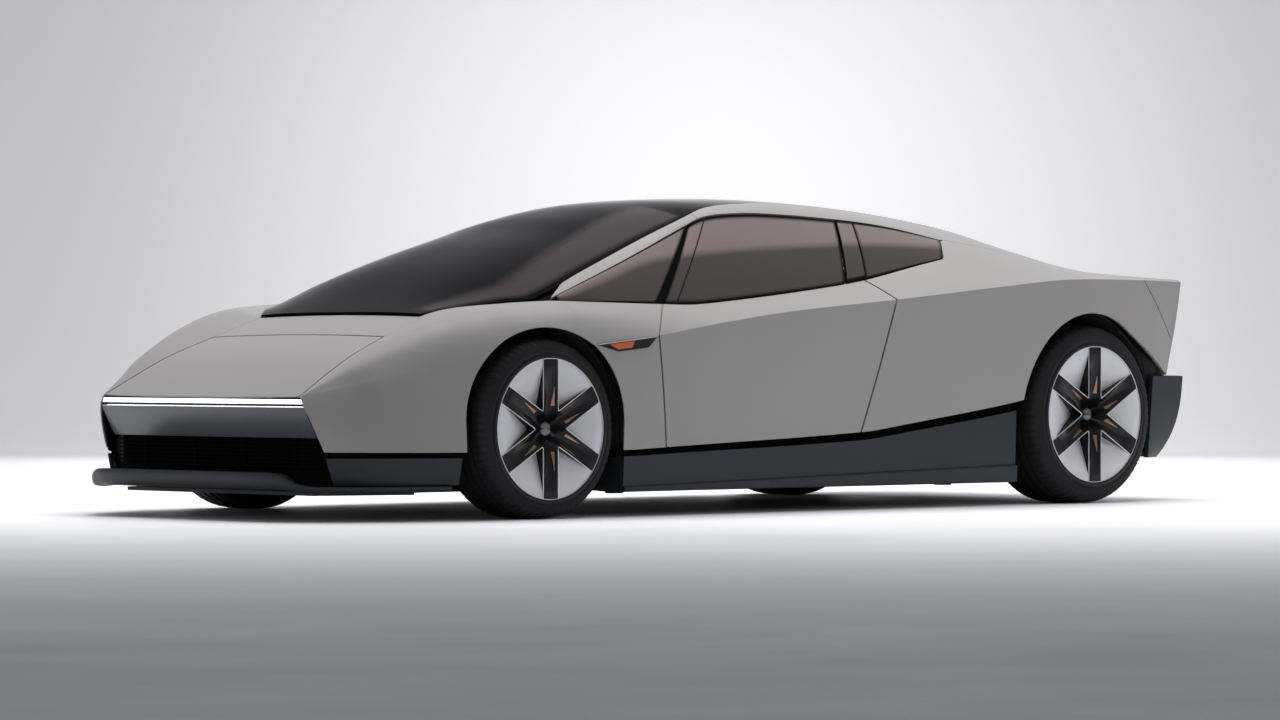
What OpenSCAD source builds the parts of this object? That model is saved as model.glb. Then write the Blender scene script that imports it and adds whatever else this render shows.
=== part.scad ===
// Electric two-door fastback sports car with hinged doors and lids, steered front wheels and
// free-turning wheels.
// Millimetres, X forward, Y left, Z up. The origin is on the ground under the middle of the car.

/* [Overall] */
// Distance between the axles
wheelbase = 2952; // [2700:10:3200]
// Front axle to the tip of the splitter
front_overhang = 980; // [920:10:1040]
// Rear axle to the end of the rear bumper
rear_overhang = 708; // [660:10:760]
// Width of the body at its widest crease
body_w = 2000; // [1940:10:2060]
// Height of the crown of the roof
roof_z = 1231; // [1180:5:1290]
// Height of the lower edge of the side windows at the front of the door
belt_z = 800; // [770:5:830]

/* [Wheels] */
// Diameter of a front tyre
front_tyre_d = 665; // [640:5:680]
// Diameter of a rear tyre
rear_tyre_d = 724; // [690:2:740]
// Width of a front tyre
front_tyre_w = 275; // [245:5:285]
// Width of a rear tyre
rear_tyre_w = 315; // [285:5:325]
// Distance between the outer faces of the front rims
front_face_w = 1940; // [1900:5:1960]
// Distance between the outer faces of the rear rims
rear_face_w = 1967; // [1930:1:1980]
// Outer diameter of the front rims
front_rim_d = 559; // [530:1:570]
// Outer diameter of the rear rims
rear_rim_d = 590; // [560:1:600]
// Spokes in a rim
spokes = 6; // [5:1:8]
// Width of a spoke
spoke_w = 76; // [60:1:84]
// Depth of the dish at the hub of a front rim
front_dish = 42; // [30:1:50]
// Depth of the dish at the hub of a rear rim
rear_dish = 62; // [40:1:70]
// Room between a tyre and its arch
arch_gap = 43; // [40:1:50]

/* [Running gear] */
// Diameter of the wheel spindles
spindle_d = 44; // [38:1:48]
// Diameter of the kingpins
kingpin_d = 20; // [16:1:24]
// Distance between the kingpins
kingpin_w = 1590; // [1570:5:1600]
// Diameter of the brake discs
disc_d = 360; // [320:5:370]
// Clear height under the floor
floor_clear = 92; // [85:1:110]

/* [Panels] */
// Thickness of fenders and other outer skins
skin_t = 4; // [3:0.5:6]
// Thickness of the rear quarters and roof rails
wall_t = 36; // [25:1:45]
// Thickness of the doors
door_t = 88; // [80:1:100]
// Thickness of the glass
glass_t = 6; // [4:0.5:8]
// Thickness of the hood and the decklid
lid_t = 16; // [12:1:20]
// Gap round the lids and at the front of the doors
shut_gap = 7; // [6:0.5:10]
// Gap behind the doors
door_rear_gap = 9; // [8:0.5:12]

/* [Cabin] */
// Height of the seat cushions
seat_z = 400; // [380:5:430]
// Distance between the seat centres
seat_pitch = 760; // [720:10:800]
// Diameter of the steering wheel
steering_d = 360; // [330:5:380]

/* [Hidden] */
fit = 0.05;
join = 0.3;
ref_wheelbase = 2952;
ref_front = 980;
ref_rear = 708;
ref_belt = 800;
ref_roof = 1231;
length = wheelbase + front_overhang + rear_overhang;
front_x = length / 2 - front_overhang;
rear_x = front_x - wheelbase;
front_r = front_tyre_d / 2;
rear_r = rear_tyre_d / 2;
front_arch = front_r + arch_gap;
rear_arch = rear_r + arch_gap + 7;
front_mid = front_face_w / 2 - front_tyre_w / 2;
rear_mid = rear_face_w / 2 - rear_tyre_w / 2;
kingpin_y = kingpin_w / 2;
tray_top = floor_clear + 14;
pin_r = 5;

// Body lines: station from the front axle, then a half breadth or a height
bottom_y = [[880, 690], [375, 940], [0, 958], [-378, 953], [-600, 953], [-1637, 962], [-2589, 968],
    [-3300, 940], [-3500, 895]];
bottom_z = [[880, 252], [-378, 250], [-600, 258], [-1637, 304], [-1854, 329], [-2589, 430], [-3000, 520],
    [-3350, 535], [-3490, 520]];
crease_y = [[880, 595], [735, 700], [650, 770], [375, 890], [150, 953], [0, 970], [-237, 974], [-557,
    976], [-773, 980],
    [-1196, 986], [-1826, 994], [-2425, 1000], [-2779, 985], [-3245, 945], [-3575, 900]];
crease_z = [[880, 452], [735, 489], [650, 507], [375, 562], [0, 620], [-237, 646], [-557, 680], [-773, 714],
    [-1196, 769], [-1826, 824], [-2425, 880], [-2779, 908], [-3245, 912], [-3575, 907]];
shoulder_y = [[880, 593], [780, 650], [650, 735], [520, 800], [380, 850], [214, 890], [0, 950],
    [-120, 946], [-300, 934], [-557, 926], [-1196, 925], [-1826, 914], [-2258, 899]];
shoulder_z = [[880, 454], [780, 527], [650, 622], [520, 708], [380, 790], [214, 850], [0, 836],
    [-120, 815], [-300, 778], [-557, 750], [-773, 762], [-1196, 806], [-1826, 869], [-2258, 930]];
edge_y = [[880, 590], [630, 552], [420, 514], [214, 478], [128, 560], [-30, 670], [-120, 748], [-177,
    795], [-400, 832],
    [-660, 858], [-973, 862], [-1347, 852], [-1731, 838], [-2120, 805], [-2258, 796]];
edge_z = [[880, 454], [630, 588], [420, 672], [214, 748], [128, 768], [-30, 795], [-120, 805], [-177,
    807], [-400, 802],
    [-660, 797], [-815, 796], [-973, 807], [-1347, 844], [-1731, 891], [-2120, 963], [-2258, 988]];
rail_y = [[214, 474], [128, 554], [-30, 662], [-120, 724], [-405, 680], [-787, 600], [-1065, 550],
    [-1170, 530], [-1287, 520],
    [-1514, 510], [-1770, 500], [-2050, 500], [-2320, 520], [-2550, 550], [-2830, 610], [-2970, 680],
        [-3080, 760], [-3370, 850],
    [-3575, 868]];
rail_z = [[214, 758], [128, 780], [-30, 804], [-120, 814], [-405, 918], [-787, 1049], [-1065, 1140],
    [-1170, 1174], [-1287, 1192],
    [-1514, 1204], [-1770, 1198], [-2050, 1180], [-2320, 1147], [-2550, 1107], [-2830, 1030], [-2970,
        978], [-3080, 945],
    [-3370, 918], [-3575, 908]];
window_y = [[-150, 784], [-592, 700], [-1018, 600], [-1103, 595], [-1210, 590], [-1427, 585], [-1836,
    592], [-2100, 630], [-2373, 670]];
window_z = [[-150, 812], [-592, 958], [-1018, 1103], [-1103, 1136], [-1210, 1153], [-1427, 1161], [-1836,
    1145], [-2100, 1118],
    [-2373, 1068]];
crown_z = [[214, 766], [100, 818], [-150, 935], [-370, 1020], [-585, 1090], [-750, 1145], [-940, 1190],
    [-1124, 1213], [-1394, 1228],
    [-1600, 1231], [-1900, 1222], [-2050, 1203], [-2320, 1160], [-2550, 1114], [-2830, 1034], [-3000,
        974], [-3100, 945], [-3370, 925],
    [-3575, 912]];

// Smooth curve through a table
function leg(t, s, i = 0) = (i >= len(t) - 2 || s >= t[i + 1][0]) ? i : leg(t, s, i + 1);
function lean(t, i) = let (a = max(i - 1, 0), b = min(i + 1,
    len(t) - 1)) (t[b][1] - t[a][1]) / (t[b][0] - t[a][0]);
function hermite(p, q, m, n, f) =
    (1 + 2 * f) * (1 - f) * (1 - f) * p + f * (1 - f) * (1 - f) * m + f * f * (3 - 2 * f) * q + f * f *
        (f - 1) * n;
function along(t, i, f) = let (h = t[i + 1][0] - t[i][0]) hermite(t[i][1], t[i + 1][1], lean(t, i) * h,
    lean(t, i + 1) * h, f);
function curve(t, s) = let (i = leg(t, s)) along(t, i, max(0, min(1,
    (s - t[i][0]) / (t[i + 1][0] - t[i][0]))));

// Stations and heights set out on the chosen overall sizes
function at_x(s) = s > 0 ? front_x + s * front_overhang / ref_front
    : s > -ref_wheelbase ? front_x + s * wheelbase / ref_wheelbase
    : rear_x + (s + ref_wheelbase) * rear_overhang / ref_rear;
function at_s(x) = x > front_x ? (x - front_x) * ref_front / front_overhang
    : x > rear_x ? (x - front_x) * ref_wheelbase / wheelbase
    : (x - rear_x) * ref_rear / rear_overhang - ref_wheelbase;
function at_y(y) = y * body_w / 2000;
function at_z(z) = z < ref_belt ? z * belt_z / ref_belt
    : belt_z + (z - ref_belt) * (roof_z - belt_z) / (ref_roof - ref_belt);
function place(p) = [at_x(p[0]), at_y(p[1]), at_z(p[2])];

// Side of the body: height 0 lower edge, 1 crease, 2 window or hood edge, 3 canopy edge
function side_ref(s, k) = k <= 1
    ? let (f = max(k, 0)) [s, curve(bottom_y, s) * (1 - f) + curve(crease_y, s) * f + 20 * f * (1 - f),
        curve(bottom_z, s) * (1 - f) + curve(crease_z, s) * f]
    : s > -2260 ? let (f = k - 1, a = (1 - f) * (1 - f), b = 2 * f * (1 - f), c = f * f)
        [s, a * curve(crease_y, s) + b * curve(shoulder_y, s) + c * lookup(s, edge_y),
            a * curve(crease_z, s) + b * curve(shoulder_z, s) + c * curve(edge_z, s)]
    : let (f = (k - 1) / 2)
        [s, curve(crease_y, s) * (1 - f) + curve(rail_y, s) * f,
            curve(crease_z, s) * (1 - f) + curve(rail_z, s) * f + 60 * f * f * (1 - f)];
function side(s, k) = place(side_ref(s, k));
function side_out(s, k) = unit(cross(side(s, k + 0.03) - side(s, max(0, k - 0.03)), side(s + 2,
    k) - side(s - 2, k)));

// Seam between the quarter and the roof rail behind the side windows
function seam(s) = s > -2373 ? mix(1.836, 2.4, (-2260 - s) / 113) : mix(2.4, 2, (-2373 - s) / 1200);

// Height on the side where an arch of a given radius cuts it
function arch_z(x, axle, r, big) = r + sqrt(max(0, big * big - (x - axle) * (x - axle)));
function cut_k(s, axle, r, big) = abs(at_x(s) - axle) > big ? 0
    : lookup(arch_z(at_x(s), axle, r, big), [for (k = [0 : 0.1 : 2]) [side(s, k)[2], k]]);

// Canopy and hood
function full(s) = s > 0 ? 3.2 : s < -1100 ? 2 : 2 + 1.2 * (s + 1100) / 1100;
function canopy(s, v, trim) = let (p = place([s, curve(rail_y, s), curve(rail_z, s)]),
    c = at_z(curve(crown_z, s)))
    [p[0], v * (p[1] - trim), p[2] + (c - p[2]) * (1 - pow(abs(v), full(s)))];
function bonnet(s, v, trim) = let (p = place([s, lookup(s, edge_y), curve(edge_z, s)]))
    [p[0], v * (p[1] - trim), p[2] + 8 * (1 - v * v)];
function belt(s) = place([s, lookup(s, edge_y), curve(edge_z, s)]);
function header(s) = place([s, curve(window_y, s), curve(window_z, s)]);
function roof_edge(s) = place([s, curve(rail_y, s), curve(rail_z, s)]);
function mix(a, b, f) = a * (1 - f) + b * f;

edge_out = [0, 0.5, 0.866];
pane_out = [0, 0.75, 0.66];
tail_s = -3576;
tail_end = tail_s + 22 + join;
function thin(s) = s > -200 ? 0.3 : s > -400 ? 0.7 : s > -3200 ? 1 : mix(1, 0.35, (-3200 - s) / 360);

// Solid of even thickness behind a grid of points
function unit(v) = v / max(norm(v), 1e-9);
function facing(g, i, j) = let (n = len(g) - 1, m = len(g[0]) - 1)
    unit(cross(g[min(i + 1, n)][j] - g[max(i - 1, 0)][j], g[i][min(j + 1, m)] - g[i][max(j - 1, 0)]));
module plate(g, t, flip = false) {
    n = len(g);
    m = len(g[0]);
    sgn = flip ? -1 : 1;
    outer = [for (i = [0 : n - 1]) for (j = [0 : m - 1]) g[i][j]];
    inner = [for (i = [0 : n - 1]) for (j = [0 : m - 1]) g[i][j] - sgn * t * facing(g, i, j)];
    block(outer, inner, n, m, flip);
}
module skin(g, out, t) {
    n = len(g);
    m = len(g[0]);
    outer = [for (i = [0 : n - 1]) for (j = [0 : m - 1]) g[i][j]];
    inner = [for (i = [0 : n - 1]) for (j = [0 : m - 1]) g[i][j] - t * out[i][j]];
    block(outer, inner, n, m, false);
}
module shifted(g, d, flip = false) {
    n = len(g);
    m = len(g[0]);
    outer = [for (i = [0 : n - 1]) for (j = [0 : m - 1]) g[i][j]];
    inner = [for (i = [0 : n - 1]) for (j = [0 : m - 1]) g[i][j] + d];
    block(outer, inner, n, m, flip);
}
module block(outer, inner, n, m, flip) {
    q = n * m;
    top = [for (i = [0 : n - 2]) for (j = [0 : m - 2]) for (f = [0, 1])
        f == 0 ? [i * m + j, i * m + j + 1, (i + 1) * m + j + 1] : [i * m + j, (i + 1) * m + j + 1,
        (i + 1) * m + j]];
    low = [for (f = top) [f[0] + q, f[2] + q, f[1] + q]];
    rim = concat([for (i = [0 : n - 2]) i * m], [for (j = [0 : m - 2]) (n - 1) * m + j],
        [for (i = [n - 1 : -1 : 1]) i * m + m - 1], [for (j = [m - 1 : -1 : 1]) j]);
    c = len(rim);
    walls = [for (k = [0 : c - 1]) for (f = [0, 1]) let (a = rim[k], b = rim[(k + 1) % c])
        f == 0 ? [a, b, b + q] : [a, b + q, a + q]];
    faces = concat(top, low, walls);
    polyhedron(points = concat(outer, inner), faces = flip ? [for (f = faces) [f[0], f[2], f[1]]] : faces);
}
module dome(list, lat, trim, t) {
    g = [for (s = list) [for (v = lat) canopy(s, v, trim)]];
    n = len(list);
    out = [for (i = [0 : n - 1]) [for (j = [0 : len(lat) - 1]) abs(lat[j]) == 1 ? [0,
        lat[j] * edge_out[1], edge_out[2]] : -facing(g, i, j)]];
    outer = [for (c = g) for (p = c) p];
    inner = [for (i = [0 : n - 1]) for (j = [0 : len(lat) - 1]) g[i][j] - t * out[i][j]];
    block(outer, inner, n, len(lat), true);
}
module both_sides() {
    children();
    mirror([0, 1, 0]) children();
}
module wheel_line(x, y, z) translate([x, y, z]) rotate([-90, 0, 0]) children();

// Wheels, set out with the axle along Z and the outer face at the top
module tyre(r, w, rim_r) {
    bead = rim_r - 6;
    h = w / 2;
    rotate_extrude($fn = 96) difference() {
        translate([bead, -h]) square([r - bead, w]);
        translate([r, h]) rotate(45) square([34, 26], center = true);
        translate([r, -h]) rotate(-45) square([34, 26], center = true);
    }
}
module rim(r, w, deep, face) {
    lip = face - 4;
    inside = -w / 2 + 12;
    barrel = r - 24;
    rotate_extrude($fn = 96) polygon([[barrel - 8, inside], [r - 6 - join, inside], [r - 6 - join, lip],
        [r - 16, face], [r - 24, face - 3], [barrel - 8, lip - 40]]);
    rotate_extrude($fn = 96) polygon([[62, face - deep - 22], [92, face - deep - 22], [barrel, face - 26],
        [barrel, face - 17], [92, face - deep - 12], [62, face - deep - 12]]);
    for (a = [0 : spokes - 1]) rotate(90 + a * 360 / spokes) translate([0, spoke_w / 2, 0]) rotate([90, 0, 0])
        linear_extrude(spoke_w) polygon([[50, face - deep - 18], [92, face - deep - 18],
            [barrel - 4, face - 22], [barrel - 4, face - 5], [64, face - deep + 10], [50, face - deep + 10]]);
    difference() {
        translate([0, 0, face - deep - 22]) cylinder(h = 34, r = 68, $fn = 64);
        translate([0, 0, face - deep - 23]) cylinder(h = 20, r = 36, $fn = 64);
    }
}

// Front hub: bored for the spindle, with the brake disc
module front_hub_solid(seat) {
    difference() {
        union() {
            translate([0, 0, seat - 60]) cylinder(h = 60 - join, r = 66, $fn = 64);
            translate([0, 0, seat - 48]) cylinder(h = 26, r = disc_d / 2, $fn = 96);
        }
        translate([0, 0, seat - 61]) cylinder(h = 62, r = spindle_d / 2 + fit, $fn = 64);
    }
}
module rear_hub_solid(seat, inner_end) {
    translate([0, 0, seat - 40]) cylinder(h = 40 - join, r = 66, $fn = 64);
    translate([0, 0, seat - 48]) cylinder(h = 26, r = disc_d / 2 + 10, $fn = 96);
    translate([0, 0, inner_end]) cylinder(h = seat - 30 - inner_end, r = spindle_d / 2, $fn = 64);
}
front_seat = front_face_w / 2 - front_dish - 22;
rear_seat = rear_face_w / 2 - rear_dish - 22;
module left_front() wheel_line(front_x, 0, front_r) rotate(180) children();
module left_rear() wheel_line(rear_x, 0, rear_r) rotate(180) children();
module on_right() mirror([0, 1, 0]) children();
module front_tyre() left_front() translate([0, 0, front_mid]) tyre(front_r, front_tyre_w, front_rim_d / 2);
module front_rim() left_front() translate([0, 0, front_mid]) rim(front_rim_d / 2, front_tyre_w,
    front_dish, front_tyre_w / 2);
module front_hub() left_front() front_hub_solid(front_seat);
module rear_tyre() left_rear() translate([0, 0, rear_mid]) tyre(rear_r, rear_tyre_w, rear_rim_d / 2);
module rear_rim() left_rear() translate([0, 0, rear_mid]) rim(rear_rim_d / 2, rear_tyre_w, rear_dish,
    rear_tyre_w / 2);
module rear_hub() left_rear() rear_hub_solid(rear_seat, 240 + join);
module front_left_tyre() color("#202224") front_tyre();
module front_left_rim() color("#2a2c30") front_rim();
module front_left_hub() color("#8d9094") front_hub();
module front_right_tyre() color("#202224") on_right() front_tyre();
module front_right_rim() color("#2a2c30") on_right() front_rim();
module front_right_hub() color("#8d9094") on_right() front_hub();
module rear_left_tyre() color("#202224") rear_tyre();
module rear_left_rim() color("#2a2c30") rear_rim();
module rear_left_hub() color("#8d9094") rear_hub();
module rear_right_tyre() color("#202224") on_right() rear_tyre();
module rear_right_rim() color("#2a2c30") on_right() rear_rim();
module rear_right_hub() color("#8d9094") on_right() rear_hub();

// Steered knuckles with spindle, kingpin ends, steering arm and brake caliper
low_arm_z = front_r - 150;
high_arm_z = front_r + 130;
arm_t = 24;
module knuckle() {
    post = high_arm_z - low_arm_z - arm_t - 2 * join;
    translate([front_x, kingpin_y, low_arm_z + arm_t + join]) cylinder(h = post, d = 56, $fn = 64);
    translate([front_x, kingpin_y, low_arm_z]) cylinder(h = high_arm_z - low_arm_z + arm_t,
        d = kingpin_d, $fn = 48);
    wheel_line(front_x, kingpin_y, front_r) cylinder(h = front_seat - 2 * join - kingpin_y,
        d = spindle_d, $fn = 64);
    translate([front_x - 120, kingpin_y - 22, front_r - 90]) cube([120, 24, 24]);
    difference() {
        translate([front_x - disc_d / 2 - 16, front_seat - 74, front_r - 60]) cube([78, 72, 120]);
        wheel_line(front_x, front_seat - 54, front_r) cylinder(h = 38, r = disc_d / 2 + 6, $fn = 96);
        wheel_line(front_x, front_seat - 54, front_r) cylinder(h = 80, r = 76, $fn = 64);
    }
    translate([front_x - disc_d / 2 + 20, kingpin_y - 12, front_r - 40]) cube([disc_d / 2 - 20, 24, 40]);
    translate([front_x - disc_d / 2 + 2, kingpin_y - 12, front_r - 40]) cube([40,
        front_seat - 60 - kingpin_y + 12, 40]);
}
module front_knuckle_left() color("#5c6064") knuckle();
module front_knuckle_right() color("#5c6064") on_right() knuckle();

// Suspension arms: the front pair bored for the kingpins, the rear pair holding the rear knuckles
frame_y = 300;
module arm(y, pin, reach) linear_extrude(arm_t) difference() {
    union() {
        polygon([[-95, frame_y + join], [-55, frame_y + join], [14, y - 10], [-14, y - 10]]);
        polygon([[95, frame_y + join], [55, frame_y + join], [-14, y - 10], [14, y - 10]]);
        translate([0, y]) circle(r = reach, $fn = 48);
    }
    if (pin > 0) translate([0, y]) circle(r = pin + fit, $fn = 48);
}
module wishbones() color("#3a3d40") both_sides() {
    for (z = [low_arm_z, high_arm_z]) translate([front_x, 0, z]) arm(kingpin_y, kingpin_d / 2, 26);
    for (z = [rear_r - 150, rear_r + 110]) translate([rear_x, 0, z]) arm(rear_knuckle_y - 30, 0, 20);
}
rear_knuckle_y = rear_mid - 90;
module rear_knuckles() color("#5c6064") both_sides() {
    difference() {
        translate([rear_x - 40, rear_knuckle_y - 10 + join, rear_r - 170]) cube([80, 40, 330]);
        wheel_line(rear_x, rear_knuckle_y - 20, rear_r) cylinder(h = 80, d = spindle_d + 2 * fit, $fn = 64);
    }
}
module subframes() color("#3a3d40") {
    for (s = [-1, 1]) translate([front_x - 160, s == 1 ? frame_y - 60 : -frame_y,
        tray_top + join]) cube([320, 60, 420]);
    for (s = [-1, 1]) difference() {
        translate([rear_x - 180, s == 1 ? frame_y - 60 : -frame_y, tray_top + join]) cube([360, 60, 440]);
        translate([rear_x - 70, s == 1 ? frame_y - 61 : -frame_y - 1, rear_r - 90]) cube([140, 62, 180]);
    }
}
module drive_unit() color("#55585c") difference() {
    translate([rear_x - 170, -frame_y + 60 + join, tray_top + join]) cube([340,
        2 * frame_y - 120 - 2 * join, 400]);
}

// Floor with jacking pads
pad_h = 12;
pads = [[front_x - 560, at_y(700)], [rear_x + 600, at_y(700)]];
tray_edge = [for (p = [[790, 560], [430, 700], [425, 480], [-430, 480], [-440, 800], [-2480, 800], [-2490, 500],
    [-3410, 500]]) [at_x(p[0]), at_y(p[1])]];
module underbody_tray() color("#2b2e31") {
    translate([0, 0, floor_clear]) linear_extrude(14) polygon(concat(tray_edge,
        [for (i = [len(tray_edge) - 1 : -1 : 0]) [tray_edge[i][0], -tray_edge[i][1]]]));
    for (p = pads) for (s = [-1, 1]) translate([p[0], s * p[1],
        floor_clear - pad_h]) cylinder(h = pad_h + 5, d = 70, $fn = 48);
}
battery_h = 110;
battery_in = 40;
module battery_pack() color("#44484c") translate([at_x(-2440), battery_in - tub_w, tray_top + join])
    cube([at_x(-470) - at_x(-2440), 2 * (tub_w - battery_in), battery_h]);
tub_z = tray_top + 2 * join + battery_h;
tub_w = at_y(800);
module cabin_tub() color("#303336") difference() {
    translate([0, tub_w, 0]) rotate([90, 0, 0]) linear_extrude(2 * tub_w) polygon([[at_x(-430), tub_z],
        [at_x(-430), 690],
        [at_x(-470), 690], [at_x(-760), 400], [at_x(-1750), 400], [at_x(-2300), 880], [at_x(-2340), 880],
        [at_x(-2340), tub_z]]);
    translate([0, tub_w - 40, 0]) rotate([90, 0, 0]) linear_extrude(2 * tub_w - 80) polygon([[at_x(-470),
        tub_z + 14],
        [at_x(-470), 800], [at_x(-1750), 1000], [at_x(-2300), 1000], [at_x(-2300), 560], [at_x(-2000),
        tub_z + 14]]);
}

// Front frame with a tow-eye socket
frame_x = at_x(700);
tow_d = 20;
tow_y = at_y(640);
beam_half = at_y(670);
module front_frame() color("#3a3d40") difference() {
    union() {
        translate([frame_x, -beam_half, 190]) cube([70, 2 * beam_half, 110]);
        for (y = [-240, 180]) translate([at_x(-429) + join, y, 190]) cube([frame_x - at_x(-429), 60, 110]);
        for (y = [-520, 460]) translate([frame_x + 10, y, tray_top + join]) cube([40, 60, 100]);
    }
    translate([frame_x + 10, tow_y, 245]) rotate([0, 90, 0]) cylinder(h = 70, d = tow_d, $fn = 48);
}
front_bow = 24;
function nose_x(v) = at_x(880) + front_bow * (1 - v * v);
nose_half = 594;
nose_top = 410.4;
nose_low = 312;
nose_lean = 0.6;
function nose_in(z) = 8 + (nose_top - z) * nose_lean;
function nose_y(z) = at_y(nose_half + (452 - z) * 0.48);
module nose_panel() color("#3c434d") plate([for (v = [-1 : 0.2 : 1]) [for (z = [nose_low, 340, 380, nose_top])
    [nose_x(v) - nose_in(z), v * (nose_y(z) - join), at_z(z)]]], 14, false);
module light_bar() color("#f4f6f8") plate([for (v = [-1 : 0.2 : 1]) [for (z = [416, 427, 442])
    [nose_x(v) - 4 - (z > 430 ? 6 : 0), v * (nose_y(452) - 6), at_z(z) + 2]]], 18, false);
module grille() color("#0c0d0f") {
    for (z = [200, 228, 256, 284]) translate([frame_x + 70 + join, -600, z]) cube([36, 1200, 12]);
    for (y = [-600, -300, -6, 288, 588]) translate([frame_x + 70 + join, y, 194]) cube([26, 12, 112]);
    translate([0, 0, nose_low - 8]) linear_extrude(8 - join) polygon(concat(
        [for (v = [-0.9 : 0.1 : 0.901]) [nose_x(v) - nose_in(nose_low) + 1, v * nose_y(nose_low)]],
        [[frame_x + 70 + join, 600], [frame_x + 70 + join, -600]]));
}
splitter_t = 24;
splitter_z = tray_top + join;
// Blade that stands up across the front edge of the splitter
blade_z = 183;
blade_t = 30;
blade_half = 560;
function blade_x(v) = at_x(979 - 30 * pow(v, 4));
plan = [[980, 0], [978, 300], [968, 480], [940, 580], [905, 630], [800, 745], [700, 800],
    [560, 860], [430, 915]];
module splitter() color("#2e343c") {
    translate([0, 0, splitter_z]) linear_extrude(splitter_t) polygon(concat(
        [for (p = plan) [at_x(p[0]), p[1]]],
        [[at_x(430), 640], [at_x(760), 520], [at_x(760), -520], [at_x(430), -640]],
        [for (i = [len(plan) - 1 : -1 : 1]) [at_x(plan[i][0]), -plan[i][1]]]));
    for (s = [-1, 1]) translate([at_x(820), s * 610 - 20, splitter_z + splitter_t - 2]) cube([70, 40, 48]);
    translate([0, 0, splitter_z + splitter_t - 2]) linear_extrude(blade_z - splitter_z - splitter_t + 2)
        polygon(concat([for (v = [-1 : 0.25 : 1]) [blade_x(v), v * blade_half]],
        [for (v = [1 : -0.25 : -1]) [blade_x(v) - blade_t, v * blade_half]]));
}

// Front fenders
function fender_rear(k) = k <= 1 ? mix(-592, -534, k) : mix(-534, -660, k - 1);
fender_last = [0.35, 0.7, 1];
module fender_skin() {
    big = front_arch;
    mid = -440;
    list = concat([for (s = [880 : -72 : 448]) s], [at_s(front_x + big + 4)],
        [for (a = [0 : 15 : 180]) at_s(front_x + big * cos(a))], [at_s(front_x - big - 4), mid]);
    k = [for (s = list) let (k0 = cut_k(s, front_x, front_r, big)) [for (f = [0 : 0.125
        : 1]) k0 + (2 - k0) * f]];
    uv = concat([for (i = [0 : len(list) - 1]) [for (q = k[i]) [list[i], q]]],
        [for (f = fender_last) [for (q = [0 : 0.25 : 2]) [mix(mid, fender_rear(q), f), q]]]);
    skin([for (c = uv) [for (p = c) side(p[0], p[1])]],
        [for (i = [0 : len(uv) - 1]) [for (p = uv[i])
            i == len(uv) - 1 ? [0, 1, 0] : side_out(p[0], p[1])]], skin_t);
}
module fender_left() color("#7d7f80") fender_skin();
module fender_right() color("#7d7f80") on_right() fender_skin();
module cowl_panel() color("#7d7f80") plate([for (s = [414, 350, 280, 216]) [for (v = [-1 : 0.2
    : 1]) bonnet(s, v, 2 * join)]], lid_t, true);
function hood_front(v) = 846 + front_bow * (1 - v * v);
module hood() color("#7d7f80") plate([for (f = [0, 0.14, 0.3, 0.48, 0.66, 0.83, 1]) [for (v = [-1 : 0.2 : 1])
    bonnet(mix(hood_front(v), 414 + shut_gap, f), v, shut_gap)]], lid_t, true);
lat = [-1, -0.9, -0.75, -0.5, -0.25, 0, 0.25, 0.5, 0.75, 0.9, 1];
module windscreen() color("#20262c") dome([212, 128, 20, -120, -300, -480, -660, -820, -960, -1091.6],
    lat, 0.8, glass_t);
module roof_glass() color("#20262c") dome([-1092.4, -1200, -1400, -1600, -1800, -1949.6], lat, 0.8,
    glass_t);
module rear_glass() color("#20262c") dome(concat([-1950.4, -2100, -2300, -2374, -2460], [for (a = [0
    : 15 : 75]) at_s(rear_x + rear_arch * cos(a))], [-2959]),
    lat, 0.8, glass_t);
tail_bow = 62;
function deck_end(v) = -3562 - tail_bow * (1 - v * v);
module decklid() color("#7d7f80") plate([for (f = [0 : 0.1667 : 1.001]) [for (v = [-1 : 0.2 : 1])
    let (s = mix(-2959 - shut_gap, deck_end(v), f)) [at_x(s), canopy(max(s, -3575), v,
        1.8 * shut_gap)[1], canopy(max(s, -3575), v, 1.8 * shut_gap)[2]]]],
    lid_t, true);

// Load spaces under the lids, with rubber stops
stop_r = 9;
module load_box(x0, x1, half, low, high, wall) difference() {
    translate([x0, -half, low]) cube([x1 - x0, 2 * half, high - low]);
    translate([x0 + wall, -half + wall, low + wall]) cube([x1 - x0 - 2 * wall, 2 * half - 2 * wall, high]);
}
module post(p, low) translate([p[0], p[1], low]) cylinder(h = p[2] - low, r = stop_r, $fn = 32);
module front_load_box() color("#26292c") {
    low = 300 + join;
    high = 440;
    load_box(at_x(445), at_x(760), at_y(420), low, high, 10);
    for (v = [-0.72, 0.72]) {
        post(bonnet(452, v, shut_gap) - [0, 0, 21.3], high - 20);
        post(bonnet(735, v, shut_gap) - [0, 0, 23.6], low);
    }
}
module rear_load_box() color("#26292c") {
    low = tray_top + 2 * join + 440;
    high = 800;
    load_box(at_x(-3470), at_x(-3030), at_y(480), low, high, 10);
    for (v = [-0.5, 0.5]) {
        post(canopy(-3037, v, shut_gap) - [0, 0, 20.6], high - 20);
        post(canopy(-3464, v, shut_gap) - [0, 0, 17.2], high - 20);
    }
}

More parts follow.
